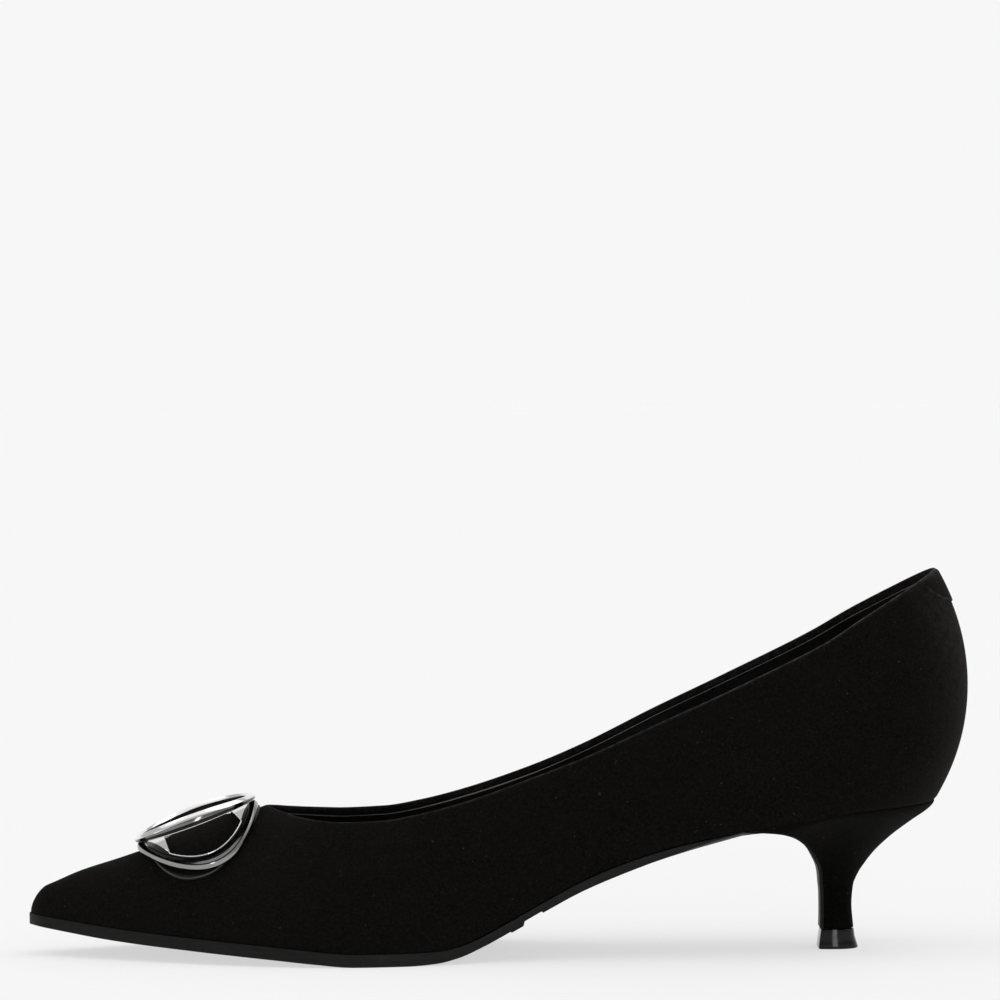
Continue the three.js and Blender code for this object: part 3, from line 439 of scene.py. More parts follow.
class Skin:
    """Grids of corners gathered into one mesh. Corners that meet are joined."""

    def __init__(self):
        self.points = []
        self.tones = []
        self.faces = []
        self.paints = []
        self.count = 0

    def grid(self, points, tone=0.0, flip=False, wrap=False, paint=0):
        """One patch, counterclockwise from outside along its rows and then its columns."""
        if wrap:
            points = np.concatenate([points, points[:, :1]], 1)
            if np.ndim(tone):
                tone = np.concatenate([tone, tone[:, :1]], 1)
        rows, columns = points.shape[:2]
        index = self.count + np.arange(rows * columns).reshape(rows, columns)
        quads = np.stack([index[:-1, :-1], index[1:, :-1], index[1:, 1:], index[:-1, 1:]], -1)
        quads = quads.reshape(-1, 4)
        if flip:
            quads = quads[:, ::-1]
        self.points.append(points.reshape(-1, 3))
        self.tones.append(np.broadcast_to(tone, (rows, columns)).reshape(-1))
        self.faces.append(quads)
        self.paints.append(np.broadcast_to(paint, (rows - 1, columns - 1)).reshape(-1))
        self.count += rows * columns
        return self

    def caps(self, rings, flip=False, inner=(0.5,)):
        """Closes a row of rings at its first and its last one."""
        for end, turned in ((0, True), (-1, False)):
            ring = rings[end]
            middle = np.broadcast_to(ring.mean(0), ring.shape)
            steps = [ring] + [mix(ring, middle, share) for share in inner] + [middle]
            self.grid(np.stack(steps), flip=turned != flip, wrap=True)
        return self

    def mesh(self, name):
        points = np.concatenate(self.points)
        tones = np.concatenate(self.tones)
        spots = np.round(points * JOINS_PER_MILLIMETRE).astype(np.int64)
        _, first, joined = np.unique(spots, axis=0, return_index=True, return_inverse=True)
        quads = joined.reshape(-1)[np.concatenate(self.faces)].tolist()
        faces = []
        paints = []
        for quad, paint in zip(quads, np.concatenate(self.paints).tolist()):
            corners = [c for k, c in enumerate(quad) if c != quad[k - 1]]
            if len(set(corners)) == len(corners) and len(corners) > 2:
                faces.append(corners)
                paints.append(paint)
        mesh = bpy.data.meshes.new(name)
        mesh.from_pydata((points[first] * MILLIMETRE).tolist(), [], faces)
        mesh.polygons.foreach_set("material_index", paints)
        layer = mesh.attributes.new("tone", "FLOAT", "POINT")
        layer.data.foreach_set("value", tones[first].astype(np.float32))
        mesh.validate()
        mesh.update()
        mesh.shade_smooth()
        return mesh


def add_piece(name, skin, materials, nodes=(), crease=None):
    mesh = skin.mesh(name)
    if crease is not None:
        mesh.set_sharp_from_angle(angle=math.radians(crease))
    piece = bpy.data.objects.new(name, mesh)
    bpy.context.scene.collection.objects.link(piece)
    for material in materials if isinstance(materials, tuple) else (materials,):
        mesh.materials.append(material)
    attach(piece, "root")
    if nodes:
        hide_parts(*nodes)
    return piece


def tube(path, radius, sides=10, closed=False):
    """Round bead along a line of corners."""
    ahead = np.roll(path, -1, 0)
    behind = np.roll(path, 1, 0)
    if not closed:
        ahead[-1] = path[-1]
        behind[0] = path[0]
    run = unit(ahead - behind)
    side = unit(np.cross(run, [0.0, 0.0, 1.0]) + 1e-9)
    top = np.cross(side, run)
    turn = 2 * math.pi * np.arange(sides) / sides
    size = np.broadcast_to(radius, (len(path),))[:, None, None]
    ring = side[:, None] * np.cos(turn)[None, :, None] + top[:, None] * np.sin(turn)[None, :, None]
    points = path[:, None] + ring * size
    if closed:
        points = np.concatenate([points, points[:1]])
    return Skin().grid(points, wrap=True)


# Materials


class Graph:
    """Short way to write the nodes of a procedural material or of the world."""

    def __init__(self, owner, coordinates="Object"):
        owner.use_nodes = True
        self.owner = owner
        self.nodes = owner.node_tree.nodes
        self.links = owner.node_tree.links
        self.place = self.add("ShaderNodeTexCoord").outputs[coordinates]

    def add(self, kind, values=None, **settings):
        node = self.nodes.new(kind)
        for name, value in settings.items():
            setattr(node, name, value)
        for name, value in (values or {}).items():
            self.put(node, name, value)
        return node

    def put(self, node, name, value):
        if isinstance(value, bpy.types.NodeSocket):
            self.links.new(value, node.inputs[name])
        else:
            node.inputs[name].default_value = value

    def noise(self, scale, detail, roughness=0.55, place=None):
        values = {"Vector": place or self.place, "Scale": scale, "Detail": detail, "Roughness": roughness}
        return self.add("ShaderNodeTexNoise", values).outputs["Fac"]

    def stretch(self, x, y, z):
        return self.add("ShaderNodeMapping", {"Vector": self.place, "Scale": (x, y, z)}).outputs["Vector"]

    def ramp(self, value, low, high, start=0.0, end=1.0, kind="LINEAR"):
        values = {"Value": value, "From Min": low, "From Max": high, "To Min": start, "To Max": end}
        return self.add("ShaderNodeMapRange", values, interpolation_type=kind).outputs["Result"]

    def blend(self, share, first, second):
        """Mix of two colours: the mixer's share is socket 0, and its colours are 6 and 7."""
        return self.add("ShaderNodeMix", {0: share, 6: first, 7: second}, data_type="RGBA").outputs[2]

    def math(self, operation, first, second):
        return self.add("ShaderNodeMath", {0: first, 1: second}, operation=operation).outputs[0]

    def tone(self):
        return self.add("ShaderNodeAttribute", attribute_name="tone").outputs["Fac"]

    def bump(self, height, distance, strength, under=None):
        values = {"Height": height, "Distance": distance, "Strength": strength}
        node = self.add("ShaderNodeBump", values)
        if under is not None:
            self.links.new(under, node.inputs["Normal"])
        return node.outputs["Normal"]

    def finish(self, **values):
        for name, value in values.items():
            self.put(self.nodes["Principled BSDF"], name.replace("_", " "), value)
        return self.owner


def grey(value, warmth=0.0):
    return (value * (1 + warmth), value, value * (1 - warmth), 1.0)


def suede_material(name, level):
    """Short dense nap: matt and near black, lighter at edges and folds with wear and painted highlight,
    with a little dust.
    """
    g = Graph(bpy.data.materials.new(name))
    nap = g.noise(1500.0, 5.0, 0.75)
    patch = g.noise(70.0, 4.0, 0.6, g.stretch(1.0, 1.0, 1.8))
    speck = g.noise(4200.0, 2.0, 0.6)
    dust = g.noise(1100.0, 1.0, 0.4)
    low = g.blend(g.ramp(patch, 0.35, 0.65), grey(0.0016 * level, 0.14), grey(0.0028 * level, 0.16))
    high = g.blend(g.ramp(nap, 0.42, 0.66), low, grey(0.0074 * level, 0.12))
    lint = g.blend(g.math("MULTIPLY", g.ramp(dust, 0.765, 0.80), 0.7), high, grey(0.035, 0.05))
    # Wear and painted highlight: the tone attribute, broken up by noise, lightens the nap towards a warm
    # grey
    patchiness = g.ramp(g.noise(520.0, 3.0, 0.6), 0.38, 0.62, 0.25, 1.0)
    wear_and_painted_highlight = g.blend(g.math("MULTIPLY", g.tone(), patchiness), lint, grey(0.10, 0.10))
    coarse = g.bump(nap, 0.00030, 0.9)
    fine = g.bump(speck, 0.00014, 0.9, coarse)
    return g.finish(
        Base_Color=wear_and_painted_highlight, Roughness=0.95, Normal=fine, Sheen_Weight=0.028 * level, Sheen_Roughness=0.35,
        Sheen_Tint=grey(0.9, 0.08), Specular_IOR_Level=0.05,
    )


def leather_material(name, base, rough, grain, depth):
    """Smooth or lightly pebbled leather."""
    g = Graph(bpy.data.materials.new(name))
    cells = g.add("ShaderNodeTexVoronoi", {"Vector": g.place, "Scale": grain}).outputs["Distance"]
    cloud = g.noise(60.0, 4.0)
    color = g.blend(g.ramp(cloud, 0.35, 0.65), grey(base * 0.8, 0.03), grey(base * 1.3, 0.03))
    return g.finish(
        Base_Color=color, Roughness=g.ramp(cloud, 0.3, 0.7, rough * 0.85, rough * 1.15),
        Normal=g.bump(cells, depth, 0.6), Specular_IOR_Level=0.22,
    )


def sole_material():
    """Dyed and waxed sole edge: satin, with faint lengthwise fibre."""
    g = Graph(bpy.data.materials.new("sole"))
    fibre = g.noise(420.0, 4.0, 0.6, g.stretch(0.25, 1.0, 4.0))
    cloud = g.noise(45.0, 3.0)
    color = g.blend(g.ramp(fibre, 0.35, 0.7), grey(0.006, 0.03), grey(0.011, 0.04))
    color = g.blend(g.math("MULTIPLY", g.ramp(cloud, 0.45, 0.75), 0.35), color, grey(0.017, 0.03))
    return g.finish(
        Base_Color=color, Roughness=g.ramp(cloud, 0.3, 0.7, 0.42, 0.6),
        Normal=g.bump(fibre, 0.00006, 0.5), Specular_IOR_Level=0.10,
    )


def gloss_material(name, base, rough):
    """Polished black with a soft ripple."""
    g = Graph(bpy.data.materials.new(name))
    ripple = g.noise(140.0, 2.0)
    dust = g.noise(900.0, 3.0)
    color = g.blend(g.ramp(dust, 0.5, 0.8), grey(base), grey(base * 1.8, 0.02))
    return g.finish(
        Base_Color=color, Roughness=g.ramp(dust, 0.3, 0.75, rough, rough * 1.6),
        Normal=g.bump(ripple, 0.00012, 0.25), Specular_IOR_Level=0.2,
    )


def metal_material(name, base, rough):
    """Gunmetal plate, polished, with faint brushing along its rim."""
    g = Graph(bpy.data.materials.new(name))
    brush = g.noise(500.0, 3.0, 0.6, g.stretch(0.5, 0.5, 4.0))
    cloud = g.noise(120.0, 3.0)
    color = g.blend(g.ramp(cloud, 0.35, 0.65), grey(base * 0.92, 0.012), grey(base, 0.018))
    return g.finish(
        Base_Color=color, Metallic=1.0, Roughness=g.ramp(brush, 0.3, 0.7, rough * 0.8, rough * 1.25),
        Normal=g.bump(brush, 0.00002, 0.3),
    )


suede = suede_material("suede", 0.88)
# Painted shade: the heel's cover is the same suede made darker, standing in for the shade under the shoe
heel_suede_painted_shade = suede_material("heel_suede_painted_shade", 0.45)
lining_leather = leather_material("lining_leather", 0.0055, 0.40, 1500.0, 0.00005)
sock_leather = leather_material("sock_leather", 0.0090, 0.44, 1100.0, 0.00006)
sole_leather = sole_material()
# The lining's edge bead: partly a light edge of the lining, partly painted highlight
bead_light_edge_and_highlight = leather_material("bead_light_edge_and_highlight", 0.150, 0.24, 900.0, 0.00004)
top_piece_gloss = gloss_material("top_piece_gloss", 0.0030, 0.08)
flange_gloss = gloss_material("flange_gloss", 0.0030, 0.10)
# Painted highlight: a light line round the pad's rolled edge
pad_edge_painted_highlight = leather_material("pad_edge_painted_highlight", 0.10, 0.25, 900.0, 0.00003)
pad_satin = leather_material("pad_satin", 0.0026, 0.42, 1700.0, 0.00004)
# Painted reflection: the ring metals are one gunmetal at different brightness, silver and grey being
# darker copies for the faces that catch less light
ring_bright = metal_material("ring_bright", 0.90, 0.08)
ring_silver_painted_reflection = metal_material("ring_silver_painted_reflection", 0.30, 0.10)
ring_grey_painted_reflection = metal_material("ring_grey_painted_reflection", 0.20, 0.12)


# Upper


def rim_away(points, normals):
    """Direction in which the topline's edge faces, along the closed rim."""
    after = np.roll(points, -1, 0)
    before = np.roll(points, 1, 0)
    return unit(np.cross(normals, after - before))


def upper_columns(places):
    """Columns of the whole upper: along its outer side from the toe, and back along its inner side."""
    side = np.concatenate([np.full(len(places), LATERAL), np.full(len(places) - 1, MEDIAL)])
    along = np.concatenate([places[::-1], places[1:]])
    return side[:, None], along[:, None]


def undulation(side, along, up):
    """Gentle hand-made waviness of the skin, none at its seams."""
    free = np.sin(np.pi * np.clip(up, 0, 1)) ** 1.5
    wave = np.sin(along * 47 + side * 1.3 + up * 4.2) + 0.7 * np.sin(along * 83 - up * 9.0 + side * 2.1)
    return SKIN_WAVE * free * wave


def seam_depth(along):
    """The joint with the heel shows behind, and closes up towards the heel's lip."""
    x = place_x(along)
    return 1 - 0.85 * ease(-4, 6, x) * ease(HEEL_LIP + 3, HEEL_LIP - 4, x)


def upper_skin():
    places = stations(26, 74, 54, 66, 18)
    side, along = upper_columns(places)
    ups = np.concatenate([[0.0, 0.004, 0.010, 0.018, 0.03, 0.05], np.linspace(0.08, 0.94, 30),
                          [0.957, 0.97, 0.98, 0.988, 0.994, 1.0]])[None, :]
    tuck = -SEAM_TUCK * (1 - ease(0, SEAM_TUCK_REACH, ups)) * seam_depth(along)
    outer = offset_point(side, along, ups, tuck + undulation(side, along, ups))
    inner = offset_point(side, along, ups, -SUEDE_THICKNESS)
    open_rim = along[:, 0] <= THROAT_PLACE + 1e-9
    # The topline's outer edge lighter: wear of the nap and painted highlight
    edge = np.where(open_rim[:, None], TOPLINE_TONE * ease(0.990, 1.0, ups), 0.0)
    # Painted highlight: the back of the collar lighter towards its top
    back = COLLAR_BACK_PAINTED_HIGHLIGHT * ease(0.05, 0.0, along) * ease(0.1, 0.9, ups)
    skin = Skin()
    skin.grid(outer, edge + back, flip=True)
    # The inner face lighter towards its top edge
    skin.grid(inner, INNER_EDGE_TONE * ease(0.95, 0.985, ups))
    skin.grid(np.stack([outer[:, 0], inner[:, 0]], 1))
    rim = np.nonzero(open_rim)[0]
    top = outer[rim, -1]
    low = inner[rim, -1]
    normals = wall_normal(side[rim, 0], along[rim, 0], 1.0)
    away = rim_away(top[:-1], normals[:-1])
    away = np.concatenate([away, away[:1]])
    degrees = np.linspace(0, 180, 11)[None, :]
    turn = np.radians(degrees)[..., None]
    middle = (top + low)[:, None] / 2
    half = (top - low)[:, None] / 2
    arc = middle + half * np.cos(turn) + away[:, None] * RIM_FOLD * np.sin(turn)
    # Painted highlight: a light band across the rolled rim, strongest towards the back
    crest = np.exp(-(((degrees - 45) / 18) ** 2))
    strength = mix(RIM_FRONT_PAINTED_HIGHLIGHT, RIM_BACK_PAINTED_HIGHLIGHT, ease(0.40, 0.08, along[rim]))
    return skin.grid(arc, RIM_TONE + strength * crest, flip=True)


def lining_edge(side, along):
    """How far up the wall the lining reaches."""
    height = wall_top(side, along)[..., 2] - seam_height(place_x(along))
    return 1 - LINING_SETDOWN / np.maximum(height, 10.0)


def lining_skin():
    """Lining with its lower edge turned in under the sock, and the line and places of its upper edge."""
    places = stations(24, 60, 40, 40, 10)
    front = along_at(place_x(THROAT_PLACE) + LINING_SETDOWN)
    places = np.unique(np.concatenate([places, [front]]))
    side, along = upper_columns(places[places <= LINING_TOE_END])
    reach = np.where(along <= front, lining_edge(side, along), 1.0)
    ups = np.linspace(LINING_START, 1, 30)[None, :] * reach
    inner = offset_point(side, along, ups, -LINING_INNER)
    outer = offset_point(side, along, ups, -LINING_OUTER)
    tucked = offset_point(side, along, ups[:, :1], -LINING_INNER - LINING_TUCK)
    skin = Skin()
    skin.grid(inner)
    skin.grid(outer, flip=True)
    skin.grid(np.stack([tucked[:, 0], inner[:, 0]], 1))
    rim = np.nonzero(along[:, 0] <= front)[0]
    skin.grid(np.stack([inner[rim, -1], outer[rim, -1]], 1))
    return skin, inner[rim, -1], along[rim, 0]


add_piece("upper_suede", upper_skin(), suede, ["upper"])
lining, lining_line, lining_along = lining_skin()
add_piece("lining", lining, lining_leather, crease=40)
# The bead is thicker where the painted highlight along the lining's edge is brightest
near_throat = np.exp(-(((lining_along - BEAD_THROAT_PLACE) / BEAD_THROAT_REACH) ** 2))
bead_radius = mix(BEAD_RADIUS, BEAD_THROAT_RADIUS, near_throat)
add_piece("lining_bead", tube(lining_line, bead_radius, 8), bead_light_edge_and_highlight)


# Back tab


def tab_skin():
    across = np.sin(np.linspace(-1, 1, 61) * math.pi / 2)[::-1][:, None]
    rows = (1 - np.cos(np.linspace(0, math.pi, 31)))[None, :] / 2
    depth = TAB_DEPTH / TAB_WALL_RUN
    sideways = np.abs(across) * TAB_HALF_WIDTH / (COLLAR_WIDTH / 2)
    along = COLLAR_ROUND * (1 - np.sqrt(1 - sideways * sideways)) / LAST_LENGTH
    side = np.where(across >= 0, LATERAL, MEDIAL)
    lowest = 1 - depth * np.sqrt(np.maximum(1 - across * across, 0))
    up = mix(lowest, 1.0, rows)
    from_edge = (1 - lowest) * rows * TAB_WALL_RUN
    from_top = (1 - lowest) * (1 - rows) * TAB_WALL_RUN
    lift = round_end(from_edge, TAB_LOWER_ROUND) * round_end(from_top, TAB_TOP_ROUND)
    # Painted highlight: a light line along the tab's lower edge and a lighter top edge
    tone = np.where(from_edge < TAB_LINE_WIDTH, TAB_LINE_PAINTED_HIGHLIGHT, TAB_TONE) + TAB_TOP_PAINTED_HIGHLIGHT * rows**12
    points = offset_point(side, along, up, mix(-TAB_SINK, 1.0, lift) * TAB_PROUD)
    under = offset_point(side, along, up, -TAB_SINK)
    skin = Skin()
    skin.grid(points, tone, flip=True)
    skin.grid(under)
    # Painted highlight on the tab's top face
    return skin.grid(np.stack([points[:, -1], under[:, -1]], 1), TAB_TOP_PAINTED_HIGHLIGHT, flip=True)


add_piece("tab_suede", tab_skin(), suede, ["back_tab"])


# Insole and sock


def sock_skin():
    inset = UPPER_WALL + CLEARANCE
    places = stations(26, 60, 20, 40, 6)
    places = np.concatenate([[0.0006], places[(places > 0.0006) & (places < 0.958)], [0.968]])
    left = seam_inset(LATERAL, places, inset)
    right = seam_inset(MEDIAL, places, inset)
    thick = INSOLE_THICKNESS * mix(1, 0.6, ease(0.75, 0.97, places))
    edge_in = mix(0, 0.04, ease(0.6, 0.97, places))
    edge = np.array([1.0, 1.0, 0.995, 0.985, 0.965])
    across = np.concatenate([edge, np.linspace(0.93, -0.93, 25), -edge[::-1]])
    roll = np.array([0.0, 0.8, 0.93, 0.985, 1.0])
    rise = np.concatenate([roll, np.ones(25), roll[::-1]])
    s = across[None, :, None] * (1 - edge_in[:, None] * rise[None, :])[..., None]
    middle = (left + right)[:, None] / 2
    half = (left - right)[:, None] / 2
    points = middle + half * s
    dish = INSOLE_DISH * (1 - across[None, :] ** 2)
    points[..., 2] = seam_height(points[..., 0]) + rise[None, :] * (thick[:, None] - dish)
    skin = Skin()
    skin.grid(points)
    floor = points.copy()
    floor[..., 2] = seam_height(points[..., 0])
    skin.grid(floor, flip=True)
    skin.grid(np.stack([points[0], floor[0]], 0), flip=True)
    return skin.grid(np.stack([points[-1], floor[-1]], 0))


add_piece("sock", sock_skin(), sock_leather, ["insole"], crease=50)


# Heel


def seat_stations():
    places = stations(7, 13, 9, 9, 4)
    behind = places[place_x(places) < HEEL_LIP * 0.92]
    return np.concatenate([[along_at(HEEL_LIP)], behind[::-1]])


seat_list = seat_stations()
seat_place = smooth_curve(np.linspace(0, 1, len(seat_list)), seat_list)


def neck_point(share, front, back, half_width):
    """Outline of the neck and top piece: nearly flat in front, round behind."""
    widest = mix(-back, front, NECK_WIDEST)
    t = np.clip(share / NECK_FLAT_SHARE, 0, 1)
    turn = np.clip((share - NECK_FLAT_SHARE) / (1 - NECK_FLAT_SHARE), 0, 1) * (math.pi / 2)
    c = np.maximum(np.cos(turn), 0)
    s = np.sin(turn)
    size = (c**NECK_FULLNESS + s**NECK_FULLNESS) ** (1 / NECK_FULLNESS)
    on_flat = share < NECK_FLAT_SHARE
    x = np.where(on_flat, mix(front, widest, t), widest - (widest + back) * s / size)
    y = np.where(on_flat, mix(NECK_FRONT_SHARE, 1, np.sin(t * math.pi / 2)), c / size)
    return x, half_width * y


def heel_point(side, share, down):
    """Side of the heel: share 0 is its front corner, 1 its back, and down goes from seat to neck."""
    side, share, down = np.broadcast_arrays(side, share, down)
    seat = seam_inset(side, np.maximum(seat_place(share), 0), 0.0)
    seat[..., 2] -= CLEARANCE
    neck_x, neck_y = neck_point(share, NECK_FRONT, NECK_BACK, NECK_HALF_WIDTH)
    fore = 1 - ease(0, 0.55, share)
    hind = ease(0.45, 1, share)
    lengthwise = mix(heel_front(down), heel_back(down), 1 - fore)
    crosswise = mix(mix(heel_side(down), heel_wing(down), fore), heel_back(down), hind)
    front_drop = WING_THICKNESS * fore * np.minimum(down / 0.012, 1)
    bottom = TOP_PIECE_HEIGHT + CLEARANCE
    return vec(
        mix(neck_x, seat[..., 0], lengthwise),
        mix(side * neck_y, seat[..., 1], crosswise),
        mix(seat[..., 2], bottom, down) - front_drop * (1 - down),
    )


def breast_direction(down):
    """Direction square to the heel's front face, pointing away from the heel."""
    step = 0.004
    run = (heel_point(LATERAL, 0.0, np.minimum(down + step, 1))
           - heel_point(LATERAL, 0.0, np.maximum(down - step, 0)))
    return unit(vec(-run[..., 2], 0, run[..., 0]))


def breast_bow(down):
    return BREAST_BOW * (1 - ease(0, 0.3, down)) * ease(-0.004, 0.012, down)


def breast_point(across, down):
    """Front face of the heel: across 1 is its outer corner, -1 its inner one."""
    across, down = np.broadcast_arrays(across, down)
    left = heel_point(LATERAL, 0.0, down)
    right = heel_point(MEDIAL, 0.0, down)
    point = mix(right, left, ((across + 1) / 2)[..., None])
    bow = breast_bow(down) * (1 - across * across)
    return point + breast_direction(down) * bow[..., None]


def soften_ring(rings, corners, passes):
    """Rounds the named corners of closed rings a little."""
    for _ in range(passes):
        average = (np.roll(rings, 1, 1) + np.roll(rings, -1, 1)) / 2
        for corner in corners:
            for k in range(corner - 2, corner + 3):
                weight = 0.6 if k == corner else 0.35
                rings[:, k] = mix(rings[:, k], average[:, k], weight)
    return rings


def heel_skin():
    down = np.concatenate([np.linspace(0, 0.02, 7), np.linspace(0.03, 0.985, 90), [0.992, 1.0]])[:, None]
    share = np.concatenate([[0.0, 0.008, 0.016, 0.028], np.linspace(0.045, 1, 40)])[None, :]
    left = heel_point(LATERAL, share, down)
    right = heel_point(MEDIAL, share, down)[:, ::-1]
    across = np.concatenate([[-0.96], np.linspace(-0.9, 0.9, 17), [0.96]])[None, :]
    front = breast_point(across, down)
    ring = np.concatenate([left, right[:, 1:], front], 1)
    corner = left.shape[1] + right.shape[1] - 2
    ring = soften_ring(ring, [corner, 0], 3)
    ring[..., 2] += (CLEARANCE - 0.03) * ease(0.012, 0, down)
    skin = Skin().grid(ring, flip=True, wrap=True)
    return skin.caps(ring, flip=True)


add_piece("heel_cover", heel_skin(), heel_suede_painted_shade, ["heel"], crease=55)


def heel_seam_line():
    """Lapped joint of the cover, down the outer side from the middle of the neck."""
    down = np.linspace(0.30, 0.995, 60)
    share = np.linspace(0.0, 0.6, 400)
    line = []
    for level in down:
        spots = heel_point(LATERAL, share, level)
        line.append(spots[np.argmin(np.abs(spots[:, 0] - HEEL_SEAM_PLACE))])
    return np.array(line)


add_piece("heel_seam", tube(heel_seam_line(), HEEL_SEAM_RADIUS, 8), heel_suede_painted_shade)


def top_piece_skin():
    """Top piece with a rounded foot, tapering up to the neck."""
    half_length = TOP_PIECE_LENGTH / 2
    half_width = TOP_PIECE_WIDTH / 2
    foot = half_length + TOP_PIECE_TOE
    share = np.concatenate([np.linspace(0, 0.04, 4), np.linspace(0.06, 1, 40)])
    tall = TOP_PIECE_HEIGHT
    rounding = ((0.0, 0.35), (0.05, 0.16), (0.18, 0.04), (0.40, 0.0))
    levels = [(height, foot - cut, half_length - cut, half_width - cut) for height, cut in rounding]
    levels += [
        (tall * 0.25, foot - 0.12, half_length - 0.3, half_width - 0.2),
        (tall * 0.6, foot - 0.36, half_length - 0.85, half_width - 0.44),
        (tall - 0.35, foot - TOP_PIECE_TAPER * 0.8, NECK_BACK + 0.15, NECK_HALF_WIDTH + 0.12),
        (tall - 0.08, foot - TOP_PIECE_TAPER * 0.85, NECK_BACK + 0.05, NECK_HALF_WIDTH + 0.05),
        (tall, foot - 0.95, NECK_BACK - 0.25, NECK_HALF_WIDTH - 0.25),
    ]
    rings = []
    for height, front, back, half in levels:
        x, y = neck_point(share, front, back, half)
        left = vec(x, y, height)
        right = vec(x, -y, height)[::-1]
        flat = vec(front, np.linspace(-0.8, 0.8, 5) * y[0], height)
        rings.append(np.concatenate([left, right[1:], flat]))
    rings = soften_ring(np.array(rings), [2 * len(share) - 2, 0], 3)
    return Skin().grid(rings, wrap=True).caps(rings)


add_piece("top_piece", top_piece_skin(), top_piece_gloss, ["heel_tip"], crease=60)


# Outsole


def strip_template():
    """Closed cross section of a strip. Across, inset in corner radii, depth in radii, depth share."""
    near = [(1 - math.sin(turn), 1 - math.cos(turn), 0.0) for turn in np.radians([25, 50, 72, 90])]
    far = [(1 - math.cos(turn), math.sin(turn) - 1, 1.0) for turn in np.radians([0, 18, 40, 65])]
    rows = [(s, abs(s) ** 9, 0.0, 0.0) for s in np.linspace(1, -1, 17)]
    rows += [(-1, *corner) for corner in near + far]
    rows += [(s, abs(s) ** 9, 0.0, 1.0) for s in np.linspace(-1, 1, 33)]
    rows += [(1, *corner) for corner in (near + far)[::-1]]
    return table("across inset drop share", rows)


def strip_rings(left, right, away, bow, middle, edge, corner):
    """Cross sections between two side lines, with thickness going the away direction."""
    t = strip_template()
    width = np.maximum(np.linalg.norm((left - right) / 2, axis=-1), corner)
    s = t["across"][None, :] * (1 - t["inset"][None, :] * (corner / width)[:, None])
    centre = (left + right)[:, None] / 2
    points = centre + (left - right)[:, None] / 2 * s[..., None]
    thin = np.clip((np.abs(s) - THINNING_START) / (1 - THINNING_START), 0, 1) ** THINNING_POWER
    thick = mix(middle[:, None], edge[:, None], thin)
    depth = t["share"][None, :] * thick + t["drop"][None, :] * corner[:, None]
    lift = bow[:, None] * (1 - s * s) + depth
    return points, lift, away[:, None]


def sole_rings(along):
    """Cross sections of the sole, with its rim a little higher round the forepart."""
    reach = sole_reach(along)
    welt = np.where(reach < 0, reach, reach * SOLE_WELT)
    left = seam_inset(LATERAL, along, -welt)
    right = seam_inset(MEDIAL, along, -welt)
    edge = sole_edge(along) * SOLE_THICKNESS
    middle = sole_middle(along) * SOLE_THICKNESS
    corner = np.minimum(SOLE_CORNER, edge * SOLE_CORNER_SHARE)
    zero = np.zeros(len(along))
    down = vec(zero, 0, -1)
    points, lift, away = strip_rings(left, right, down, zero, middle, edge, corner)
    points[..., 2] = seam_height(points[..., 0]) - CLEARANCE
    t = strip_template()
    rim = ease(0.93, 1, np.abs(t["across"])) * (1 - t["share"])
    lift = lift - SOLE_RIM_RISE * ease(0.5, 0.58, along)[:, None] * rim[None, :]
    return points + away * lift[..., None]


def flap_rings(down):
    """Cross sections of the flap down the heel's front face."""
    away = breast_direction(down)
    left = heel_point(LATERAL, 0.0, down)
    right = heel_point(MEDIAL, 0.0, down)
    fuller = ease(0.06, 0.3, down)
    gap = CLEARANCE * 1.15 * mix(0.3, 1, fuller)
    thick = FLAP_THICKNESS * mix(0.4, 1, fuller)
    inset = mix(FLAP_SHOULDER, FLAP_INSET, ease(0.02, 0.3, down))
    left[:, 1] -= inset
    right[:, 1] += inset
    edge = thick * mix(0.5, 1, ease(0, 0.12, down))
    corner = np.minimum(SOLE_CORNER, edge * SOLE_CORNER_SHARE)
    fill = gap * 0.85
    bow = breast_bow(down)
    points, lift, away = strip_rings(left, right, away, bow, thick + fill, edge + fill, corner)
    return points + away * ((gap - fill)[:, None] + lift)[..., None]


def outsole_skin():
    """Sole and flap in one, with closer sections at the tab and groove where the forepart ends."""
    rebate = along_at(HEEL_LIP + 1)
    plain = stations(1, 70, 20, 60, 16)
    plain = plain[(plain > rebate + 0.004) & ((plain < 0.428) | (plain > 0.476))]
    spans = ((rebate, rebate + 0.02, 6), (0.43, 0.4335, 3), (0.4338, 0.4355, 5), (0.438, 0.4530, 6),
             (0.4534, 0.4555, 6), (0.457, 0.4672, 6), (0.4676, 0.4695, 6), (0.472, 0.475, 2))
    places = np.unique(np.concatenate([plain] + [np.linspace(*span) for span in spans]))
    places = places[places < 0.99999]
    fore = sole_rings(places[::-1])
    down = np.concatenate([np.linspace(0.006, 0.06, 12), np.linspace(0.07, 0.998, 60)])
    rings = np.concatenate([fore, flap_rings(down)])
    return Skin().grid(rings, wrap=True).caps(rings, inner=())


add_piece("sole", outsole_skin(), sole_leather, ["outsole"], crease=62)


# Ornament


def ornament_frame():
    """Origin and axes of the ornament: x down the ridge, y to the outer side, z off the ridge."""
    reach = RING_RADIUS * 0.9 / LAST_LENGTH
    spots = wall_top(np.array([LATERAL] * 3), ORNAMENT_PLACE + np.array([0, reach, -reach]))
    run = spots[1] - spots[2]
    run[1] = 0
    x_axis = unit(run)
    return spots[0], x_axis, np.array([0.0, 1, 0]), np.array([-x_axis[2], 0, x_axis[0]])


ORIGIN, X_AXIS, Y_AXIS, Z_AXIS = ornament_frame()


def ornament_point(x, y, z):
    x, y, z = np.broadcast_arrays(x, y, z)
    return ORIGIN + x[..., None] * X_AXIS + y[..., None] * Y_AXIS + z[..., None] * Z_AXIS


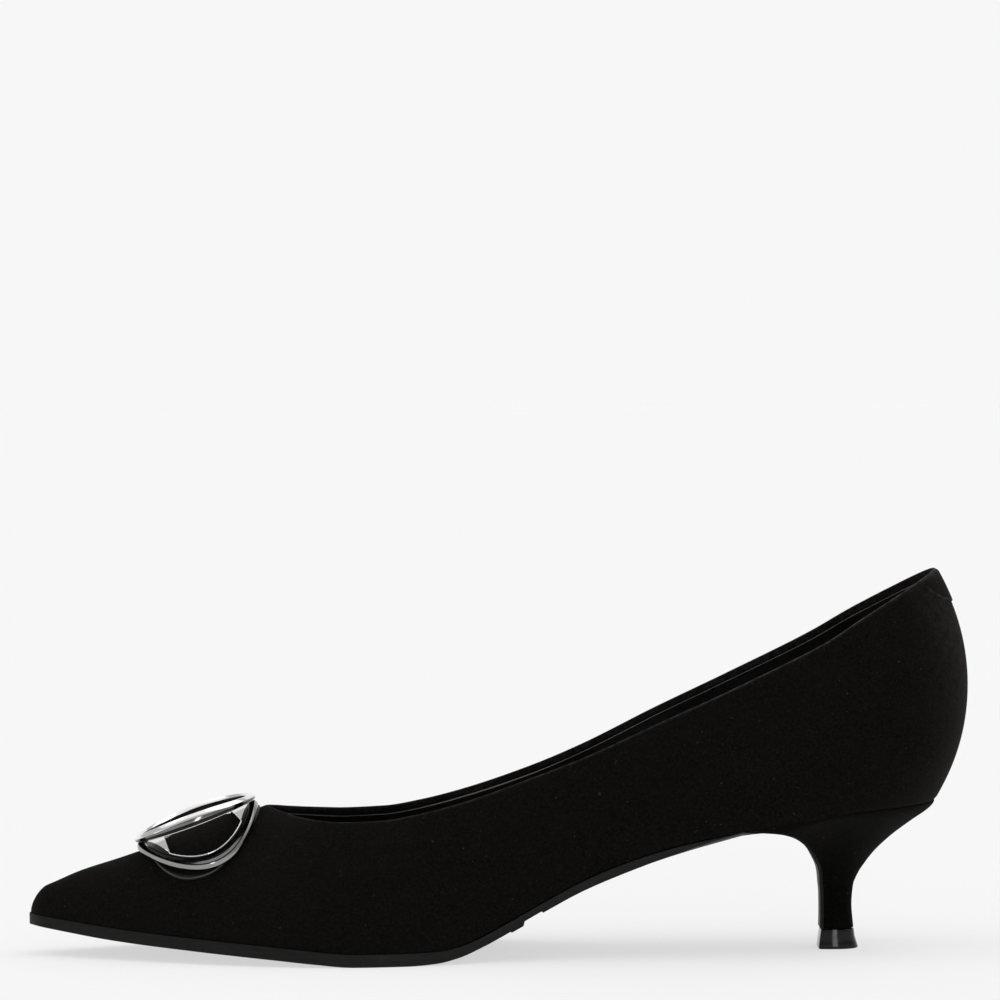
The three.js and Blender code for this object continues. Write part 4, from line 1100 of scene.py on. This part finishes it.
def surface_normal(height, x, y):
    """Unit normal of a surface that is given as a height over x and y."""
    slope_x = (height(x + SLOPE_STEP, y) - height(x - SLOPE_STEP, y)) / (2 * SLOPE_STEP)
    slope_y = (height(x, y + SLOPE_STEP) - height(x, y - SLOPE_STEP)) / (2 * SLOPE_STEP)
    return unit(vec(-slope_x, -slope_y, 1))


def vamp_height(x, y):
    """Height of the vamp's outside over this place."""
    along = along_at(x)
    offset = y - centre_line(along)
    side = np.where(offset >= 0, LATERAL, MEDIAL)
    full = fullness_at(along)
    ratio = np.minimum(np.abs(offset) / seam_half_width(side, along), 1)
    rise = wall_top(side, along)[..., 2] - seam_height(x)
    return seam_height(x) + rise * (1 - ratio**full) ** (1 / full)


def vamp_offset(x, y, distance):
    return vec(x, y, vamp_height(x, y)) + surface_normal(vamp_height, x, y) * distance[..., None]


def vamp_lift(x, y):
    """Height of the vamp in the ornament's own frame."""
    lift = np.zeros(np.broadcast(x, y).shape)
    for _ in range(12):
        spot = ornament_point(x, y, lift)
        lift = lift + (vamp_height(spot[..., 0], spot[..., 1]) - spot[..., 2]) * Z_AXIS[2]
    return lift


def pad_skin():
    """Thin pad on the vamp under the rings, with a rolled edge."""
    turn = np.linspace(0, 2 * math.pi, 145)[:-1][None, :]
    share = np.concatenate([np.linspace(0, 0.94, 24), [0.957, 0.972, 0.985, 0.994, 1.0, 1.0]])[:, None]
    roll = np.concatenate([np.ones(24), [0.99, 0.95, 0.84, 0.66, 0.40, 0.0]])[:, None]
    x = PAD_HALF_LENGTH * share * np.cos(turn) - PAD_SETBACK
    y = ORNAMENT_SHIFT + PAD_HALF_WIDTH * share * np.sin(turn)
    spot = ornament_point(x, y, 0.0)
    bead = PAD_BEAD * np.exp(-(((share - PAD_BEAD_PLACE) / PAD_BEAD_REACH) ** 2))
    lengthwise = x / np.where(x < 0, CROWN_HEEL_REACH, CROWN_TOE_REACH)
    inside = np.hypot(lengthwise, (y - ORNAMENT_SHIFT) / CROWN_SIDE_REACH)
    crown = PAD_CROWN * (1 - np.minimum(inside, 1) ** 4)
    height = CLEARANCE + PAD_THICKNESS * roll - 0.5 * CLEARANCE * (1 - roll) + bead + crown
    points = vamp_offset(spot[..., 0], spot[..., 1], height)
    paint = np.where(share[:-1] < PAD_SATIN_START, 0, 1)
    return Skin().grid(points, wrap=True, paint=paint), points[-4]


pad, pad_rim = pad_skin()
add_piece("pad", pad, (suede, pad_satin), ["ornament_pad"])
# Painted highlight along the pad's rim
add_piece("pad_edge", tube(pad_rim, 0.10, 8, closed=True), pad_edge_painted_highlight)


RING_MIDDLE = CLEARANCE * 2 + PAD_THICKNESS + RING_SAG + RING_THICKNESS / 2


def bend_over(angle, standoff):
    """How sharply the lower ring bends over the ridge where its rim stands off the pad by this much."""
    x = RING_RADIUS * math.cos(angle)
    y = ORNAMENT_SHIFT + RING_RADIUS * math.sin(angle)
    rim = float(vamp_lift(np.array(x), np.array(y))) + RING_MIDDLE - RING_SAG + standoff
    return x, (RING_MIDDLE - rim) / (y * y)


HEEL_SIDE_X, HEEL_SIDE_BEND = bend_over(math.pi * 2 / 3, HEEL_SIDE_STANDOFF)
TOE_SIDE_X, TOE_SIDE_BEND = bend_over(math.pi / 3, TOE_SIDE_STANDOFF)


def lower_bend(x, y):
    share = (x - HEEL_SIDE_X) / (TOE_SIDE_X - HEEL_SIDE_X)
    return RING_MIDDLE - mix(HEEL_SIDE_BEND, TOE_SIDE_BEND, share) * y * y


def upper_arch(x, y):
    return RING_MIDDLE + UPPER_RING_LIFT + UPPER_RING_ARCH * (1 - (x / RING_RADIUS) ** 2) + 0 * y


def bent_point(surface, angle, radius, off):
    """Point of a bent ring: along the radius at this angle, and off its own bent face."""
    x = radius * np.cos(angle)
    y = ORNAMENT_SHIFT + radius * np.sin(angle)
    along_x, along_y, along_z = np.moveaxis(surface_normal(surface, x, y), -1, 0)
    return ornament_point(x + along_x * off, y + along_y * off, surface(x, y) + along_z * off)


def round_corner(radius, off, corner, start, steps=6):
    """A rounded edge of a bar's cross section, counterclockwise, about its own centre."""
    turns = np.radians(np.linspace(start, start + 90, steps))
    return [(radius + corner * math.cos(turn), off + corner * math.sin(turn)) for turn in turns]


def lower_section():
    """Bar with a bright slanting side, a dark line, a narrow grey top and a black channel within it: the
    silver, grey and black faces are painted reflection and shade on one metal.
    """
    half = RING_THICKNESS / 2
    outer = RING_RADIUS
    crest = outer - LOWER_BEVEL
    inner = outer - RING_WIDTH
    step = inner + CHANNEL_WIDTH
    fine = 0.10
    deep = 0.14
    foot = round_corner(inner + RING_EDGE, RING_EDGE - half, RING_EDGE, 180)
    foot += round_corner(outer - fine, fine - half, fine, 270)
    slant = [(outer, -0.18), (mix(outer, crest, 0.40), 0.24), (crest, half - 0.03)]
    line = [(crest - 0.04, half - deep), (crest - 0.24, half - deep), (crest - 0.28, half)]
    channel = [(step, half), (step - 0.06, half - deep)]
    inside = [(inner + fine, half - deep), (inner, half - deep - fine)]
    rows = foot + slant + line + channel + inside
    paint = [0] * (len(foot) + 2) + [2] * 3 + [1] + [2] * 4
    return np.array(rows)[None], np.array(paint)


def upper_section(angle):
    """Bar with a wide bright bevel over a grey side, black along its lower part and its inside: the grey
    and black faces are painted reflection and shade on one metal.
    """
    half = RING_THICKNESS / 2
    inner = RING_RADIUS - RING_WIDTH
    outer = RING_RADIUS
    fine = 0.12
    sections = []
    for turn in angle:
        foot = -half - UPPER_RING_ARCH * UPPER_RING_FILL * math.sin(turn) ** 2
        tall = half - foot
        bevel = min(UPPER_BEVEL_DEPTH, tall * 0.42)
        split = foot + tall * 0.36
        low = foot + fine + 0.06
        rows = round_corner(inner + fine, foot + fine, fine, 180, 4)
        rows += round_corner(outer - fine, foot + fine, fine, 270, 4)
        rows += [(outer, low), (outer - 0.10, low + 0.05), (outer - 0.10, split - 0.05), (outer, split)]
        rows += [(outer, half - bevel), (outer - UPPER_BEVEL * 0.42, half - bevel * 0.48)]
        rows += [(outer - UPPER_BEVEL, half), (inner + INNER_BEVEL, half)]
        rows += [(inner + INNER_BEVEL * 0.45, half - bevel * 0.30), (inner, half - bevel * 0.72)]
        rows += [(inner + 0.08, half - bevel * 0.72 - 0.08), (inner + 0.08, low + 0.05), (inner, low)]
        sections.append(rows)
    paint = [2] * 5 + [0] * 3 + [2, 2, 2, 1] + [0, 0, 0] + [0, 0, 2] + [2, 2, 2]
    return np.array(sections), np.array(paint)


def ring_skin(surface, section, paint):
    points = bent_point(surface, RING_TURN, section[..., 0], section[..., 1])
    points[-1] = points[0]
    return Skin().grid(points, flip=True, wrap=True, paint=paint[None, :])


RING_TURN = (2 * math.pi * np.arange(RING_STEPS + 1) / RING_STEPS)[:, None]
lower_ring = ring_skin(lower_bend, *lower_section())
upper_ring = ring_skin(upper_arch, *upper_section(RING_TURN[:, 0]))
# Painted reflection and shade: each ring face takes the bright, the grey or the black finish after the
# light it catches
for name, ring, bright, node in (("ring_b", lower_ring, ring_silver_painted_reflection, "ring_lower"),
                                 ("ring_a", upper_ring, ring_bright, "ring_upper")):
    add_piece(name, ring, (bright, ring_grey_painted_reflection, flange_gloss), [node], crease=33)


def flange_inner(angle):
    """Inner edge of the collar: round, with a leaning straight cut at each end."""
    lean = np.where(np.cos(angle) > 0, TOE_CUT_LEAN, HEEL_CUT_LEAN)
    across = np.abs(np.cos(angle)) + lean * np.abs(np.sin(angle))
    return np.minimum(FLANGE_INNER, WEB_REACH / np.maximum(across, 1e-6))


def flange_skin():
    half = FLANGE_THICKNESS / 2
    inner = flange_inner(RING_TURN)
    outer = np.full_like(inner, RING_RADIUS - RING_WIDTH - CLEARANCE)
    radius = np.concatenate([inner, outer, outer, inner], 1)
    points = bent_point(lower_bend, RING_TURN, radius, np.array([[-half, -half, half, half]]))
    points[-1] = points[0]
    return Skin().grid(points, flip=True, wrap=True)


def lip_skin():
    angle = 2 * math.pi * np.arange(240) / 240
    line = bent_point(lower_bend, angle, flange_inner(angle) + LIP_INSET, FLANGE_THICKNESS / 2)
    return tube(line, LIP_RADIUS, closed=True)


def web_skin(end, lean):
    """Bright three-cornered plate behind the straight cut, with its third corner at the ring's end."""
    across = np.linspace(-1, 1, 41)[:, None]
    share = np.linspace(0, 1, 9)[None, :]
    corner = math.acos(WEB_REACH / FLANGE_INNER / math.hypot(1, lean)) + math.atan(lean)
    reach = RING_RADIUS - RING_WIDTH - 0.2
    y = FLANGE_INNER * math.sin(corner) * across
    cut = WEB_REACH - lean * np.abs(y)
    x = mix(cut, mix(reach, FLANGE_INNER * math.cos(corner), np.abs(across)), share)
    y = y + 0 * share
    radius = np.hypot(x, y)
    angle = np.arctan2(y, x) + end
    off = FLANGE_THICKNESS / 2 + WEB_PROUD + WEB_SWELL * np.sin(share * math.pi)
    return Skin().grid(bent_point(lower_bend, angle, radius, off), flip=True)


add_piece("flange", flange_skin(), flange_gloss, ["ring_flange"], crease=40)
add_piece("flange_lip", lip_skin(), ring_bright)
add_piece("web_toe", web_skin(0.0, TOE_CUT_LEAN), ring_bright)
add_piece("web_heel", web_skin(math.pi, HEEL_CUT_LEAN), ring_bright)


# Floor, light and camera

HORIZON = 0.93
FLOOR_GLOW = 0.604
UPPER_SKY = 0.50
HORIZON_TOP = 0.12
SKY_FOOT = 0.20
FLOOR_REACH = 60.0

# The photograph's view: where the camera stands, in metres, its two directions and its lens
CAMERA_PLACE = Vector((0.09058, 1.2, 0.150))
CAMERA_RIGHT = Vector((-0.99996, 0.0002, -0.00872))
CAMERA_UP = Vector((-0.00873, -0.02348, 0.99969))
LENS = 160
SENSOR_WIDTH = 36

# Soft boxes: where each stands, half its width and its soft edge in degrees, and its brightness
SOFT_BOXES = [
    ((-0.45, -0.15, 1.0), 20, 14, 0.9),
    ((0.60, -0.10, 0.80), 10, 8, 1.2),
]

# Strips: where each stands, the direction across it, half its width, its foot and top, its brightness.
# A strip fades out at its sides by the softness times that half width.
STRIP_SOFTNESS = 1.5
STRIPS = [
    ((0.0, 1.0, 0.25), (1.0, 0.12, 0.0), 0.06, 0.0, 0.45, 6.0),
    ((0.15, 0.2, 1.0), (0.0, 1.0, -0.2), 0.26, 0.45, 1.2, 0.45),
    ((0.0, -1.0, 0.4), (1.0, 0.0, 0.0), 0.45, 0.14, 0.62, 0.38),
]


def add_stage():
    mesh = bpy.data.meshes.new("floor")
    corners = [(x * FLOOR_REACH, y * FLOOR_REACH, 0) for x, y in ((-1, -1), (1, -1), (1, 1), (-1, 1))]
    mesh.from_pydata(corners, [], [(0, 1, 2, 3)])
    floor = bpy.data.objects.new("floor", mesh)
    bpy.context.scene.collection.objects.link(floor)
    g = Graph(bpy.data.materials.new("floor_paper"))
    grain = g.noise(300.0, 3.0)
    paper = g.blend(g.ramp(grain, 0.3, 0.7), grey(0.335), grey(0.345))
    g.finish(Base_Color=paper, Roughness=0.9, Specular_IOR_Level=0.0,
             Emission_Color=grey(1.0), Emission_Strength=FLOOR_GLOW)
    mesh.materials.append(g.owner)


def add_world():
    """Pale band round the horizon, dim above it, with soft boxes overhead and strips round the shoe."""
    g = Graph(bpy.data.worlds.new("studio"), "Generated")

    def part(vector):
        values = {0: g.place, 1: Vector(vector).normalized()}
        return g.add("ShaderNodeVectorMath", values, operation="DOT_PRODUCT").outputs["Value"]

    def span(value, low, high, start=0.0, end=1.0):
        return g.ramp(value, low, high, start, end, "SMOOTHSTEP")

    height = part((0, 0, 1))
    light = span(height, HORIZON_TOP, SKY_FOOT, HORIZON, UPPER_SKY)
    for toward, wide, soft, power in SOFT_BOXES:
        inner = math.cos(math.radians(wide))
        outer = math.cos(math.radians(wide + soft))
        light = g.math("ADD", light, span(part(toward), outer, inner, 0.0, power))
    for toward, sideways, width, low, high, power in STRIPS:
        across = part(sideways)
        soft = width * STRIP_SOFTNESS
        shape = g.math("MULTIPLY", span(across, -soft, -width), span(across, soft, width))
        shape = g.math("MULTIPLY", shape, span(height, low, low + 0.04))
        shape = g.math("MULTIPLY", shape, span(height, high, high - 0.05))
        shape = g.math("MULTIPLY", shape, span(part(toward), 0.2, 0.4, 0.0, power))
        light = g.math("ADD", light, shape)
    ground = g.nodes["Background"]
    g.put(ground, "Color", grey(1.0))
    g.put(ground, "Strength", light)
    bpy.context.scene.world = g.owner


def add_camera():
    data = bpy.data.cameras.new("photograph")
    data.lens = LENS
    data.sensor_width = SENSOR_WIDTH
    data.clip_start = 0.05
    data.clip_end = 200
    camera = bpy.data.objects.new("photograph", data)
    axes = [CAMERA_RIGHT, CAMERA_UP, CAMERA_RIGHT.cross(CAMERA_UP)]
    camera.matrix_world = Matrix([[*axis, 0] for axis in axes] + [[*CAMERA_PLACE, 1]]).transposed()
    bpy.context.scene.collection.objects.link(camera)
    bpy.context.scene.camera = camera


add_stage()
add_world()
add_camera()
scene = bpy.context.scene
scene.view_settings.view_transform = "Standard"
scene.view_settings.look = "None"
scene.view_settings.exposure = 0.0
scene.view_settings.gamma = 1.0


def corners(box):
    return [list(box[0]), list(box[1])]
